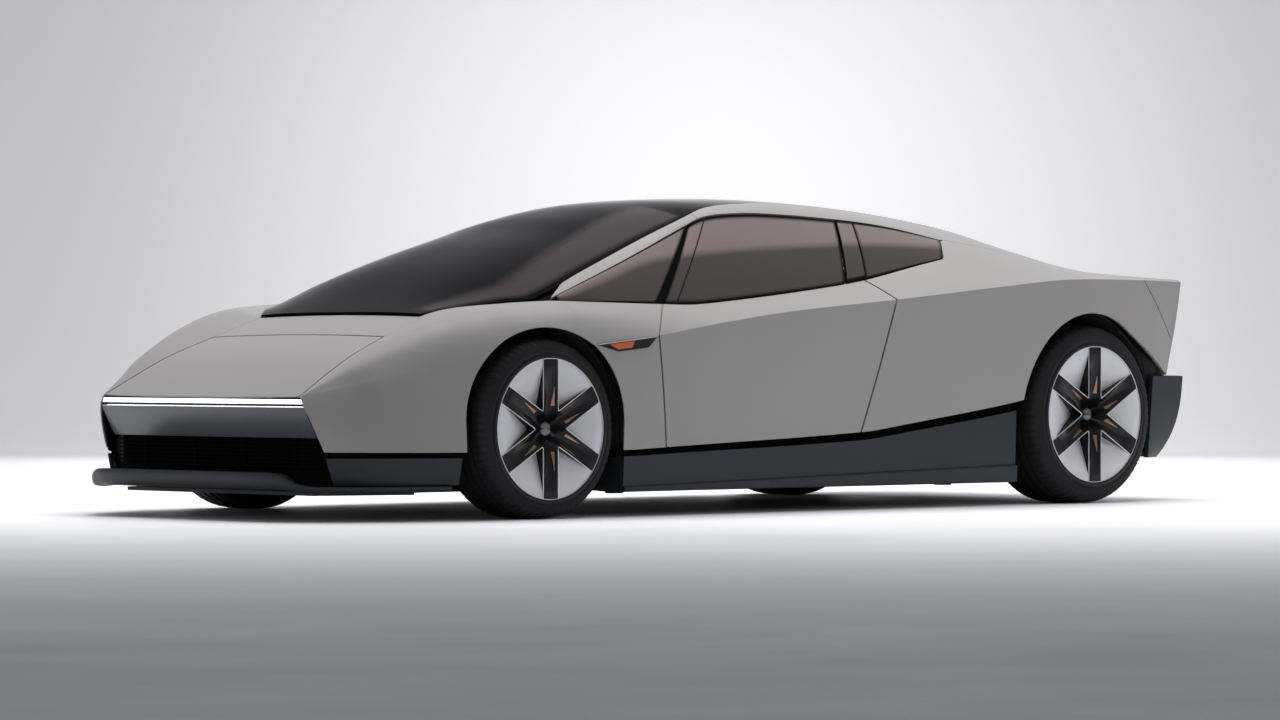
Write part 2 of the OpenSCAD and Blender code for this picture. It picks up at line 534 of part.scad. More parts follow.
// Doors and side windows
function door_front(k) = fender_rear(k) - shut_gap - min(k, 1) - 3 * max(0, k - 1);
function door_back(k) = k <= 1 ? mix(-1620, -1788, k) : mix(-1788, -1768, k - 1);
module door_skin() shifted([for (f = [0 : 0.1 : 1]) [for (k = [0, 0.25, 0.5, 0.75, 1, 1.33, 1.66, 2])
    side(mix(door_front(k), door_back(k), f), k)]], [0, -door_t, 0], false);
hinge_s = -642;
hinge_tilt = atan2(curve(crease_y, hinge_s) - curve(bottom_y, hinge_s), curve(crease_z,
    hinge_s) - curve(bottom_z, hinge_s));
hinge_foot = side(hinge_s, 0) - [0, 13, 0];
hinge_up = [340 - hinge_foot[2], 590 - hinge_foot[2]];
module on_hinge(h) translate(hinge_foot) rotate([-hinge_tilt, 0, 0]) translate([0, 0, h]) children();
module door_solid() difference() {
    door_skin();
    for (h = hinge_up) on_hinge(h) {
        translate([-26, -140, -14]) cube([140, 140, 28]);
        translate([0, 0, -14]) cylinder(h = 28, r = 11, $fn = 48);
        translate([0, 0, -34]) cylinder(h = 68, r = pin_r + fit, $fn = 48);
    }
}
module hinge_set() for (h = hinge_up) {
    on_hinge(h) {
        translate([0, 0, -32]) cylinder(h = 64, r = pin_r, $fn = 48);
        translate([-5, -110, -9]) cube([10, 110, 18]);
    }
    translate([hinge_foot[0] - 5, tub_w + join, hinge_foot[2] + h - 14]) cube([100, 34, 18]);
}
module door_hinges() color("#4a4d50") both_sides() hinge_set();
module door_left() color("#7d7f80") door_solid();
module door_right() color("#7d7f80") on_right() door_solid();
module pane(b0, b1, t0, t1, low, high) {
    f8 = [0 : 0.125 : 1];
    k4 = [0 : 0.25 : 1];
    skin([for (f = f8) [for (k = k4) mix(belt(mix(b0, b1, f)) + [0, -3, low], header(mix(t0, t1,
        f)) - high * pane_down, k)
        + [0, 36 * k * (1 - k), 12 * k * (1 - k)]]], [for (f = f8) [for (k = k4) k == 0 ? [0, 1, 0]
        : pane_out]], glass_t);
}
pane_down = [0, -0.66, 0.75];
module door_pane() pane(-660 - 14, -1656, -1024 - 14, -1836, 0.9, 9);
module door_glass_left() color("#20262c") door_pane();
module door_glass_right() color("#20262c") on_right() door_pane();
module b_pillars() color("#101214") both_sides() pane(-1656 - 11, -1786, -1836 - 11, -1930, 7, 2.6);
module side_glass() color("#20262c") both_sides() {
    pane(-182, -632, -190, -1024, 0.9, 2.2);
    pane(-1786.6, -2249, -1930.6, -2361, 0.9, 2.2);
}
function rail(s, f) = s > -2373 ? mix(header(s), roof_edge(s), f) + [0, 12 * f * (1 - f), 16 * f * (1 - f)]
    : side(s, mix(seam(s) + 0.008, 3, f));
function rail_out(s, f) = f == 1 ? (s > -2800 ? edge_out : [0, 0, 1]) : (f == 0 && s > -2373) ? pane_out
    : s > -2373 ? unit(cross(rail(s, f + 0.05) - rail(s, f - 0.05), rail(s + 2, f) - rail(s - 2, f)))
        : side_out(s, mix(seam(s), 3, f));
// The rear arch runs on as a straight edge from this angle down to the tail
arch_turn = 122;
turn_at = [rear_x + rear_arch * cos(arch_turn), rear_r + rear_arch * sin(arch_turn)];
line_end = [at_x(-3487), at_z(520)];
function line_z(x) = mix(turn_at[1], line_end[1], (x - turn_at[0]) / (line_end[0] - turn_at[0]));
function rear_k(s) = at_x(s) > turn_at[0] ? cut_k(s, rear_x, rear_r, rear_arch)
    : lookup(line_z(at_x(s)), [for (k = [0 : 0.1 : 2]) [side(s, k)[2], k]]);
rear_list = concat([-2374, -2460, at_s(rear_x + rear_arch + 4)], [for (a = [0 : 15
    : 105]) at_s(rear_x + rear_arch * cos(a))], [at_s(turn_at[0]), -3240, -3330, -3420]);
rail_list = concat([-150, -300, -480, -660, -820, -960, -1092, -1200, -1400, -1600, -1800, -1950, -2100,
    -2300], rear_list, [tail_end]);

module rail_skin() skin([for (s = rail_list) [for (f = [0, 0.5, 1]) rail(s, f)]], [for (s = rail_list)
    [for (f = [0, 0.5, 1]) rail_out(s, f) * thin(s)]], wall_t);
module roof_rails() color("#7d7f80") both_sides() rail_skin();

// Rear quarters
module quarter_skin() {
    rows = [for (f = [0 : 0.125 : 1]) f];
    list = concat([-1900, -2000, -2130, -2258, -2310], rear_list);
    first = [for (f = rows) [door_back(2 * f) - door_rear_gap, 2 * f]];
    main = [for (s = list) let (k0 = rear_k(s), k1 = s > -2260 ? 2
        : seam(s)) [for (f = rows) [s, mix(k0, k1, f)]]];
    last = [for (f = rows) let (k = f * seam(tail_end)) [k < 1 ? mix(-3487 + tail_end - tail_s, tail_end,
        k) : tail_end, k]];
    uv = concat([first], main, [last]);
    skin([for (c = uv) [for (p = c) side(p[0], p[1])]], [for (i = [0 : len(uv) - 1]) [for (p = uv[i])
        i == 0 ? [0, 1, 0] : side_out(p[0], p[1]) * thin(p[0])]], wall_t);
}
module quarter_left() color("#7d7f80") quarter_skin();
module quarter_right() color("#7d7f80") on_right() quarter_skin();

// Tail
function tail_x(v, z) = at_x(-3576) + (907 - z) * 0.23 - tail_bow * (1 - v * v);
module tail_panel() color("#7d7f80") plate([for (v = [-1 : 0.2 : 1]) [for (z = [516.4, 620, 716, 812, 880])
    [tail_x(v, z), v * at_y(899), at_z(z)]]], 22, true);
module tail_lamp() color("#a01820") plate([for (v = [-0.94 : 0.188 : 0.941]) [for (z = [796, 812, 828])
    [tail_x(v, z) - 10.6, v * at_y(899), at_z(z)]]], 9.6, true);
bumper_top = 516;
function bumper_x(v) = at_x(-3590) - (tail_bow + 8) * (1 - v * v);
module rear_bumper() color("#3c434d") {
    plate([for (q = [-1.25, -1.1, -1, -0.9, -0.75, -0.5, -0.25, 0, 0.25, 0.5, 0.75, 0.9, 1, 1.1, 1.25])
        [for (z = [180, 260, 340, 430, bumper_top]) let (v = max(-1, min(1, q)), e = abs(q) - abs(v))
            [bumper_x(v) + (bumper_top - z) * 0.1 + (z < 300 ? (300 - z) * 1.1 * (1 - 4 * e) : 0) + e * 720,
                (v + (q < 0 ? -1 : 1) * e * 0.16) * at_y(896), at_z(z)]]], 22, true);
    translate([0, 0, bumper_top - 18]) linear_extrude(18) polygon(concat([for (v = [-0.99 : 0.11
        : 0.991]) [bumper_x(v) + 8, v * at_y(896)]],
        [for (v = [0.99 : -0.11 : -0.991]) [bumper_x(v) + 130, v * at_y(880)]]));
}

// Sills and front corners
sill_y = at_y(948);
sill_list = [-385, -600, -900, -1250, -1637, -1854, -2150, -2522];
module sill() {
    n = len(sill_list);
    pts = [for (s = sill_list) let (top = at_z(curve(bottom_z, s)), step = 112 - (s + 385) * 0.024)
        for (p = [[sill_y, top - 28], [sill_y - 28, top - 28], [sill_y - 28, top - 13], [tub_w + join,
        top - 13], [tub_w + join, floor_clear],
            [sill_y - 22, floor_clear], [sill_y - 10, step - 4], [sill_y, step]]) [at_x(s), p[0], p[1]]];
    cap = [[1, 2, 3], [1, 3, 4], [0, 1, 4], [0, 4, 5], [0, 5, 6], [0, 6, 7]];
    back = (n - 1) * 8;
    polyhedron(points = pts, faces = concat([for (c = cap) [c[2], c[1], c[0]]],
        [for (c = cap) [c[0] + back, c[1] + back, c[2] + back]],
        [for (c = [0 : n - 2]) for (i = [0 : 7]) for (f = [0, 1]) let (a = c * 8 + i,
        b = c * 8 + (i + 1) % 8)
            f == 0 ? [a, b + 8, a + 8] : [a, b, b + 8]]));
}
module corner() shifted([for (s = [840, 760, 660, 560, 470, 405]) [for (z = [splitter_z + splitter_t +
    join, 170, 200, 230])
    [at_x(s), at_y(curve(bottom_y, s) - 6 - (230 - z) * 0.25), z]]], [0, -30, 0], false);
module lower_cladding() color("#3c434d") both_sides() {
    sill();
    corner();
}
marker_h = 38;
module side_markers() color("#a8642c") both_sides() plate([for (f = [0 : 0.25 : 1]) [for (q = [0, 0.5, 1])
    side(mix(mix(-330, -480, f), mix(-228, -525, f), q), 1)
        + [0, 4 + join, (q - 1) * marker_h - 2]]], 4, false);

// Wheelhouses
module house(x, r, big, y0, y1) difference() {
    union() {
        wheel_line(x, y0, r) rotate(180) rotate_extrude(angle = 180, $fn = 96) polygon([[120, 0],
        [big + 5, 0], [big + 5, y1 - y0],
            [big, y1 - y0], [big, 5], [120, 5]]);
        translate([x - big - 5, y0, tray_top + join]) cube([2 * big + 10, 5, r - tray_top]);
    }
    translate([x - 190, y0 - 1, tray_top + 20]) cube([380, 8, r + 190 - tray_top]);
}
// Flange that closes the corner between the rear wheelhouse and the straight edge of the quarter
flange_low = 400;
flange_gap = 0.7;
flange_y = at_y(896.4);
module flange() translate([0, flange_y, 0]) rotate([90, 0, 0]) linear_extrude(12) polygon(concat(
    [for (a = [arch_turn + 2 : 8 : 174])
        [rear_x + (rear_arch + 9) * cos(a), rear_r + (rear_arch + 9) * sin(a)]],
    [[at_x(-3405), flange_low], [at_x(-3405), at_z(524)], [at_x(-3415), at_z(524)],
        [at_x(-3415), line_z(at_x(-3415)) - flange_gap],
        [turn_at[0] - 10, line_z(turn_at[0] - 10) - flange_gap]]));
module wheel_liners() color("#141517") both_sides() {
    house(front_x, front_r, front_arch + 16, at_y(470), at_y(898));
    house(rear_x, rear_r, rear_arch + 6, at_y(490), at_y(900));
    flange();
}

// Cabin
column_at = [at_x(-930), seat_pitch / 2, 690];
module on_column() translate(column_at) rotate([0, -68, 0]) children();
dash_w = tub_w - 60;
module dashboard() color("#24272b") difference() {
    translate([0, dash_w, 0]) rotate([90, 0, 0]) linear_extrude(2 * dash_w) polygon([[at_x(-470) - join, 560],
        [at_x(-470) - join, 700],
        [at_x(-560), 752], [at_x(-760), 768], [at_x(-840), 730], [at_x(-830), 650], [at_x(-700), 540]]);
    on_column() translate([0, 0, -170]) cylinder(h = 172, r = 22 + join, $fn = 48);
}
module steering_wheel() color("#17191b") on_column() {
    rotate_extrude($fn = 64) translate([steering_d / 2 - 15, 0]) circle(r = 15, $fn = 32);
    translate([0, 0, -12]) cylinder(h = 24, r = 50, $fn = 48);
    for (a = [0, 90, 180]) rotate(a + 90) translate([30, -14, -8]) cube([steering_d / 2 - 42, 28, 16]);
    translate([0, 0, -150]) cylinder(h = 150, r = 22, $fn = 48);
}
module seat_solid() {
    translate([0, 250, 0]) rotate([90, 0, 0]) linear_extrude(500) polygon([[at_x(-1130),
        tub_z + 14 + join], [at_x(-1110), seat_z - 30],
        [at_x(-1140), seat_z], [at_x(-1560), seat_z - 40], [at_x(-1810), 1000], [at_x(-1880), 1000],
        [at_x(-1900), 960],
        [at_x(-1680), 320], [at_x(-1660), tub_z + 14 + join]]);
}
module seats() color("#4a4440") for (s = [-1, 1]) translate([0, s * seat_pitch / 2, 0]) seat_solid();

underbody_tray();
battery_pack();
drive_unit();
subframes();
wishbones();
rear_knuckles();
front_frame();
splitter();
nose_panel();
grille();
light_bar();
fender_left();
fender_right();
lower_cladding();
quarter_left();
quarter_right();
roof_rails();
cowl_panel();
windscreen();
roof_glass();
rear_glass();
side_glass();
b_pillars();
tail_panel();
tail_lamp();
rear_bumper();
wheel_liners();
cabin_tub();
dashboard();
steering_wheel();
seats();
side_markers();
door_hinges();
front_load_box();
rear_load_box();
hood();
decklid();
door_left();
door_right();
door_glass_left();
door_glass_right();
front_knuckle_left();
front_knuckle_right();
front_left_tyre();
front_left_rim();
front_left_hub();
front_right_tyre();
front_right_rim();
front_right_hub();
rear_left_tyre();
rear_left_rim();
rear_left_hub();
rear_right_tyre();
rear_right_rim();
rear_right_hub();
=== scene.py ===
"""Looks of an electric fastback sports car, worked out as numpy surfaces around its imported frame."""
from math import pi, radians

import bmesh
import bpy
import numpy as np
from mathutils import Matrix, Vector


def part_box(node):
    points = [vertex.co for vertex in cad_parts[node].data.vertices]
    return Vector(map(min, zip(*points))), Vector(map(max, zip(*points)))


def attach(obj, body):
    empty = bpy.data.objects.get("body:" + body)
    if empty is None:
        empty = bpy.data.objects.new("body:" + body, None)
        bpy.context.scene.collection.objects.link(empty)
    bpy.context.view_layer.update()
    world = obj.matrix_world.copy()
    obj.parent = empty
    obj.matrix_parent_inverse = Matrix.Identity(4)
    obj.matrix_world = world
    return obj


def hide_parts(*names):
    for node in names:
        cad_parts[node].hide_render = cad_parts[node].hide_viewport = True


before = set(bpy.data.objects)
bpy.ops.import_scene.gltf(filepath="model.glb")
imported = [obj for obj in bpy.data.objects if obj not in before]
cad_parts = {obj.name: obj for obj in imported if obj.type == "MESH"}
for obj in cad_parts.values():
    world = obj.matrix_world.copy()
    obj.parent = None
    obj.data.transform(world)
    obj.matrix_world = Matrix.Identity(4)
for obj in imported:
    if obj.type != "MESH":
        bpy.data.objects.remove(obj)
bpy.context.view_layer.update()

# Places and sizes read from the frame
MM = 0.001


def middle(node):
    """Centre of a CAD node's box."""
    low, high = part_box(node)
    return np.array((low + high) / 2)


def half_size(node):
    """Half the size of a CAD node's box."""
    low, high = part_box(node)
    return np.array((high - low) / 2)


FRONT_AXLE = middle("front_left_tyre")
AXLE_X = FRONT_AXLE[0]
REAR_AXLE = middle("rear_left_tyre")
FRONT_R = half_size("front_left_tyre")[2]
REAR_R = half_size("rear_left_tyre")[2]
REAR_S = (REAR_AXLE[0] - AXLE_X) / MM
ARCH_GAP = 43
FRONT_ARCH = FRONT_R / MM + ARCH_GAP
REAR_ARCH = REAR_R / MM + ARCH_GAP + 7
INSIDE = np.array([-0.2, 0, 0.45])

# Body lines in millimetres: station from the front axle, then a half breadth or a height
BOTTOM_Y = [(880, 690), (375, 940), (0, 958), (-378, 953), (-600, 953), (-1637, 962), (-2589, 968),
            (-3300, 940), (-3500, 895)]
BOTTOM_Z = [(880, 252), (-378, 250), (-600, 258), (-1637, 304), (-1854, 329), (-2589, 430), (-3000, 520),
            (-3350, 535), (-3490, 520)]
CREASE_Y = [(880, 595), (735, 700), (650, 770), (375, 890), (150, 953), (0, 970), (-237, 974),
            (-557, 976), (-773, 980), (-1196, 986), (-1826, 994), (-2425, 1000), (-2779, 985),
            (-3245, 945), (-3575, 900)]
CREASE_Z = [(880, 452), (735, 489), (650, 507), (375, 562), (0, 620), (-237, 646), (-557, 680),
            (-773, 714), (-1196, 769), (-1826, 824), (-2425, 880), (-2779, 908), (-3245, 912),
            (-3575, 907)]
SHOULDER_Y = [(880, 593), (780, 650), (650, 735), (520, 800), (380, 850), (214, 890), (0, 950),
              (-120, 946), (-300, 934), (-557, 926), (-1196, 925), (-1826, 914), (-2258, 899)]
SHOULDER_Z = [(880, 454), (780, 527), (650, 622), (520, 708), (380, 790), (214, 850), (0, 836),
              (-120, 815), (-300, 778), (-557, 750), (-773, 762), (-1196, 806), (-1826, 869),
              (-2258, 930)]
EDGE_Y = [(880, 590), (630, 552), (420, 514), (214, 478), (128, 560), (-30, 670), (-120, 748),
          (-177, 795), (-400, 832), (-660, 858), (-973, 862), (-1347, 852), (-1731, 838), (-2120, 805),
          (-2258, 796)]
EDGE_Z = [(880, 454), (630, 588), (420, 672), (214, 748), (128, 768), (-30, 795), (-120, 805),
          (-177, 807), (-400, 802), (-660, 797), (-815, 796), (-973, 807), (-1347, 844), (-1731, 891),
          (-2120, 963), (-2258, 988)]
RAIL_Y = [(214, 474), (128, 554), (-30, 662), (-120, 724), (-405, 680), (-787, 600), (-1065, 550),
          (-1170, 530), (-1287, 520), (-1514, 510), (-1770, 500), (-2050, 500), (-2320, 520),
          (-2550, 550), (-2830, 610), (-2970, 680), (-3080, 760), (-3370, 850), (-3575, 868)]
RAIL_Z = [(214, 758), (128, 780), (-30, 804), (-120, 814), (-405, 918), (-787, 1049), (-1065, 1140),
          (-1170, 1174), (-1287, 1192), (-1514, 1204), (-1770, 1198), (-2050, 1180), (-2320, 1147),
          (-2550, 1107), (-2830, 1030), (-2970, 978), (-3080, 945), (-3370, 918), (-3575, 908)]
WINDOW_Y = [(-150, 784), (-592, 700), (-1018, 600), (-1103, 595), (-1210, 590), (-1427, 585),
            (-1836, 592), (-2100, 630), (-2373, 670)]
WINDOW_Z = [(-150, 812), (-592, 958), (-1018, 1103), (-1103, 1136), (-1210, 1153), (-1427, 1161),
            (-1836, 1145), (-2100, 1118), (-2373, 1068)]
CROWN_Z = [(214, 766), (100, 818), (-150, 935), (-370, 1020), (-585, 1090), (-750, 1145), (-940, 1190),
           (-1124, 1213), (-1394, 1228), (-1600, 1231), (-1900, 1222), (-2050, 1203), (-2320, 1160),
           (-2550, 1114), (-2830, 1034), (-3000, 974), (-3100, 945), (-3370, 925), (-3575, 912)]
WINDOWS_END = -2260
RAIL_JOIN = -2373
TAIL_S = -3572
NOSE_S = 880


# Curves and surfaces of the body

def curve(table, s):
    """Cubic Hermite curve through a table, with the slope at each point taken between its neighbours."""
    x, y = np.array(table, float)[::-1].T
    at = np.arange(len(x))
    before, after = np.maximum(at - 1, 0), np.minimum(at + 1, len(x) - 1)
    slope = (y[after] - y[before]) / (x[after] - x[before])
    i = np.clip(np.searchsorted(x, s, "right") - 1, 0, len(x) - 2)
    h = x[i + 1] - x[i]
    f = held((s - x[i]) / h)
    return ((1 + 2 * f) * (1 - f) ** 2 * y[i] + f * (1 - f) ** 2 * slope[i] * h
            + f * f * (3 - 2 * f) * y[i + 1] + f * f * (f - 1) * slope[i + 1] * h)


def straight(table, s):
    """Straight lines through a table."""
    x, y = np.array(table, float)[::-1].T
    return np.interp(s, x, y)


def mix(a, b, f):
    """Share f of the way from a to b."""
    return a * (1 - f) + b * f


def held(x):
    """A value kept between 0 and 1."""
    return np.clip(x, 0, 1)


def hump(x, width):
    """Bell curve, 1 in the middle."""
    return np.exp(-(x / width) ** 2)


def rounded(x, power):
    """A value with its sign kept and its size raised to a power."""
    return np.sign(x) * np.abs(x) ** power


def column(first, last, count):
    """Even steps as a column."""
    return np.linspace(first, last, count)[:, None]


def row(first, last, count):
    """Even steps as a row."""
    return np.linspace(first, last, count)[None]


def circle(count):
    """Even angles once round."""
    return np.linspace(0, 2 * pi, count, endpoint=False)


def matched(a, b):
    """Two values as arrays of one shape."""
    return np.broadcast_arrays(np.asarray(a, float), np.asarray(b, float))


def units(vectors):
    """Vectors of length 1."""
    return vectors / np.linalg.norm(vectors, axis=-1, keepdims=True)


def heading(path):
    """Unit direction of a path at each of its points."""
    return units(np.gradient(path, axis=0))


def place(s, y, z):
    """Points in the frame, in metres, from a station, a breadth and a height in millimetres."""
    s, y, z = np.broadcast_arrays(s, y, z)
    return np.stack([AXLE_X + MM * s, MM * y, MM * z], -1)


BELLY, HOLLOW, SHARPEN = 20, 60, 100


def side(s, k):
    """Left side of the body. Height k runs from 0 on the lower edge to 1 on the crease, straight with a
    slight belly, then over the shoulder on a quadratic arc to 2 at the window, pulled in just above the
    crease beside the hood to sharpen it. Behind the windows it runs on a straight line with a slight hollow
    to 3 at the canopy."""
    s, k = matched(s, k)
    y1, z1 = curve(CREASE_Y, s), curve(CREASE_Z, s)
    f = held(k)
    low = place(s, mix(curve(BOTTOM_Y, s), y1, f) + BELLY * f * (1 - f), mix(curve(BOTTOM_Z, s), z1, f))
    f = held(k - 1)
    a, b, c = (1 - f) ** 2, 2 * f * (1 - f), f * f
    pull = SHARPEN * held((NOSE_S - s) / 120) * held((s - 250) / 300) * f * (1 - f) ** 3
    arc = place(s, a * y1 + b * curve(SHOULDER_Y, s) + c * straight(EDGE_Y, s) - pull,
                a * z1 + b * curve(SHOULDER_Z, s) + c * curve(EDGE_Z, s))
    f = held((k - 1) / 2)
    back = place(s, mix(y1, curve(RAIL_Y, s), f), mix(z1, curve(RAIL_Z, s), f) + HOLLOW * f * f * (1 - f))
    high = np.where((s > WINDOWS_END)[..., None], arc, back)
    return np.where((k <= 1)[..., None], low, high)


SEAM_FRONT, SEAM_JOIN = 1.836, 2.4


def seam(s):
    """Height on the side where the quarter meets the roof rail, behind the windows."""
    near = mix(SEAM_FRONT, SEAM_JOIN, (WINDOWS_END - s) / (WINDOWS_END - RAIL_JOIN))
    return np.where(s > RAIL_JOIN, near, mix(SEAM_JOIN, 2, (RAIL_JOIN - s) / 1200))


def arch(s, axle_s, radius, reach):
    """Height of a round wheel arch over each station, and none beside it."""
    square = reach * reach - (s - axle_s) ** 2
    return np.where(square < 0, 0, radius + np.sqrt(np.maximum(square, 0)))


def cut_at(s, target):
    """Height on the side that lies at a given level, found between many heights and never below the lower
    edge."""
    k = np.linspace(0, 2, 401)
    z = side(s[:, None], k)[..., 2] / MM
    i = np.clip(np.argmax(z >= target[:, None], axis=1), 1, len(k) - 1)
    each = np.arange(len(s))
    f = held((target - z[each, i - 1]) / (z[each, i] - z[each, i - 1]))
    return np.where(z[:, 0] >= target, 0, mix(k[i - 1], k[i], f))


def canopy(s, v, trim=0):
    """Windscreen, roof, rear glass and deck: across the car v runs from -1 to 1 between the rails, and the
    height rises from the rail to the crown with a flat-topped power curve."""
    s, v = matched(s, v)
    power = np.clip(2 + 1.2 * (s + 1100) / 1100, 2, 3.2)
    rail_z = curve(RAIL_Z, s)
    rise = (curve(CROWN_Z, s) - rail_z) * (1 - np.abs(v) ** power)
    return place(s, v * (curve(RAIL_Y, s) - trim), rail_z + rise)


BONNET_CROWN = 8
NOSE_DROP = 0.536


def bonnet(s, v, trim=0):
    """Hood and cowl: straight down the edge line, with a low parabola across."""
    s, v = matched(s, v)
    ahead = NOSE_DROP * np.maximum(s - NOSE_S, 0)
    rise = BONNET_CROWN * (1 - v * v)
    return place(s, v * (straight(EDGE_Y, s) - trim), curve(EDGE_Z, s) - ahead + rise)


def belt(s):
    """Lower edge of the side windows."""
    return place(s, straight(EDGE_Y, s), curve(EDGE_Z, s))


def header(s):
    """Upper edge of the side windows."""
    return place(s, curve(WINDOW_Y, s), curve(WINDOW_Z, s))


def rail(s, f):
    """Roof rail from the window header at f 0 to the canopy at 1, slightly full, then down the buttress."""
    s, f = matched(s, f)
    g = f[..., None]
    roof = mix(header(s), place(s, curve(RAIL_Y, s), curve(RAIL_Z, s)), g)
    roof = roof + MM * g * (1 - g) * np.array([0, 12, 16])
    back = side(s, mix(seam(s) + 0.008, 3, f))
    return np.where((s > RAIL_JOIN)[..., None], roof, back)


PANE_DOWN = np.array([0, -0.66, 0.75])


def pane(b0, b1, t0, t1, low, high, nf=40, nk=16):
    """Side window between the belt and the header, each from one station to another, bowed outwards."""
    f = np.linspace(0, 1, nf)
    k = np.linspace(0, 1, nk)[None, :, None]
    foot = belt(mix(b0, b1, f)) + MM * np.array([0, -3, low])
    top = header(mix(t0, t1, f)) - MM * high * PANE_DOWN
    return mix(foot[:, None], top[:, None], k) + MM * k * (1 - k) * np.array([0, 36, 12])


# Meshes from grids

def quads(n, m, wrap_n=False, wrap_m=False):
    """Faces of a grid of n by m points, closed round in either direction."""
    i, j = np.meshgrid(np.arange(n if wrap_n else n - 1), np.arange(m if wrap_m else m - 1), indexing="ij")
    i2, j2 = (i + 1) % n, (j + 1) % m
    return np.stack([i * m + j, i * m + j2, i2 * m + j2, i2 * m + j], -1).reshape(-1, 4)


def outward(grid):
    """Unit normals of a grid from the cross product of its two directions, turned away from the car's
    middle."""
    n = np.cross(np.gradient(grid, axis=0), np.gradient(grid, axis=1))
    n /= np.maximum(np.linalg.norm(n, axis=-1, keepdims=True), 1e-12)
    return n if np.mean(np.sum(n * (grid - INSIDE), -1)) > 0 else -n


def shell(outer, inner):
    """Closed plate: an outer grid, an inner grid and a wall round their borders."""
    n, m = outer.shape[:2]
    top = quads(n, m)
    ids = np.arange(n * m).reshape(n, m)
    rim = np.concatenate([ids[:-1, 0], ids[-1, :-1], ids[:0:-1, -1], ids[0, :0:-1]])
    nxt = np.roll(rim, -1)
    wall = np.stack([rim, nxt, nxt + n * m, rim + n * m], -1)
    verts = np.concatenate([outer.reshape(-1, 3), inner.reshape(-1, 3)])
    return verts, np.concatenate([top, top[:, ::-1] + n * m, wall]).tolist()


def behind(grid, depth):
    """A grid moved in along its normals by a depth in metres."""
    return grid - depth * outward(grid)


def plate(grid, thick):
    """Plate of even thickness, in metres, behind a grid."""
    return shell(grid, behind(grid, thick))


def tube(grid, closed=False):
    """Skin round a row of closed sections, with flat ends or joined end to end."""
    n, m = grid.shape[:2]
    faces = quads(n, m, wrap_n=closed, wrap_m=True).tolist()
    if not closed:
        faces += [list(range(m)), list(range((n - 1) * m, n * m))[::-1]]
    return grid.reshape(-1, 3), faces


def join(parts):
    """Several meshes as one."""
    verts, faces, base = [], [], 0
    for v, f in parts:
        verts.append(v)
        faces += [[i + base for i in face] for face in f]
        base += len(v)
    return np.concatenate(verts), faces


def flip(part):
    """A mesh on the other side of the car."""
    return part[0] * np.array([1, -1, 1]), part[1]


def bar_along(path, section, up=(0, 0, 1)):
    """A closed section of (across, up) points carried along a path, square to its direction."""
    along = heading(path)
    across = units(np.cross(along, np.asarray(up, float)))
    rise = np.cross(across, along)
    section = np.asarray(section, float)
    return path[:, None] + section[None, :, :1] * across[:, None] + section[None, :, 1:] * rise[:, None]


def round_section(radius, count=10):
    """Points round a circle."""
    a = circle(count)
    return np.stack([radius * np.cos(a), radius * np.sin(a)], -1)


def block(low, high):
    """Box between two corners, with six outward faces."""
    low, high = np.asarray(low, float), np.asarray(high, float)
    pick = np.array([[0, 0, 0], [1, 0, 0], [1, 1, 0], [0, 1, 0], [0, 0, 1], [1, 0, 1], [1, 1, 1], [0, 1, 1]])
    faces = [[0, 3, 2, 1], [4, 5, 6, 7], [0, 1, 5, 4], [1, 2, 6, 5], [2, 3, 7, 6], [3, 0, 4, 7]]
    return mix(low, high, pick), faces


def round_edges(obj, width):
    """Small round on every sharp edge of a piece."""
    mod = obj.modifiers.new("edge", "BEVEL")
    mod.width = width
    mod.segments = 2
    mod.limit_method = "ANGLE"
    mod.angle_limit = radians(50)
    mod.harden_normals = True


def linked(name, data):
    """An object with its data, in the scene."""
    obj = bpy.data.objects.new(name, data)
    bpy.context.scene.collection.objects.link(obj)
    return obj


def mesh_object(name, part):
    """An object from the points and faces of a mesh."""
    mesh = bpy.data.meshes.new(name)
    mesh.from_pydata(np.asarray(part[0]).tolist(), [], part[1])
    return linked(name, mesh)


def dress(mesh, material):
    """Smooth faces and a material."""
    mesh.polygons.foreach_set("use_smooth", np.ones(len(mesh.polygons), bool))
    mesh.materials.append(material)


def piece(name, part, look, node=None, body="body", slot=None, sharp=26, bevel=0.0):
    """One object of the car: mesh with outward faces, finish, CAD node it stands for and body that carries
    it. The slot argument is not used."""
    obj = mesh_object(name, part)
    bm = bmesh.new()
    bm.from_mesh(obj.data)
    bmesh.ops.remove_doubles(bm, verts=bm.verts, dist=1e-6)
    bmesh.ops.recalc_face_normals(bm, faces=bm.faces)
    bm.to_mesh(obj.data)
    bm.free()
    dress(obj.data, look)
    obj.data.set_sharp_from_angle(angle=radians(sharp))
    if bevel:
        round_edges(obj, bevel)
    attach(obj, body)
    if node:
        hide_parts(node)
    return obj


def two_sides(name, part, look, node="", body="body", **shape):
    """A piece on the left and its twin on the right. Body and node names hold the word left."""
    return [piece(f"{name}_{hand}", mesh, look, node.replace("left", hand), body.replace("left", hand),
                  **shape) for hand, mesh in (("left", part), ("right", flip(part)))]


# Finishes

def new_material(name):
    """An empty material with its shader, output and object coordinates."""
    mat = bpy.data.materials.new(name)
    mat.use_nodes = True
    tree = mat.node_tree
    shader = tree.nodes["Principled BSDF"]
    coords = tree.nodes.new("ShaderNodeTexCoord")
    return mat, tree, shader, coords.outputs["Object"]


def feed(tree, node, inputs):
    """Gives each input of a shader node a value, or a link from another node's output."""
    for key, value in inputs.items():
        if isinstance(value, bpy.types.NodeSocket):
            tree.links.new(value, node.inputs[key])
        else:
            node.inputs[key].default_value = value


def add_node(tree, kind, inputs, result, **settings):
    """A new shader node with its settings and inputs, known by its result."""
    node = tree.nodes.new("ShaderNode" + kind)
    for key, value in settings.items():
        setattr(node, key, value)
    feed(tree, node, inputs)
    return node.outputs[result]


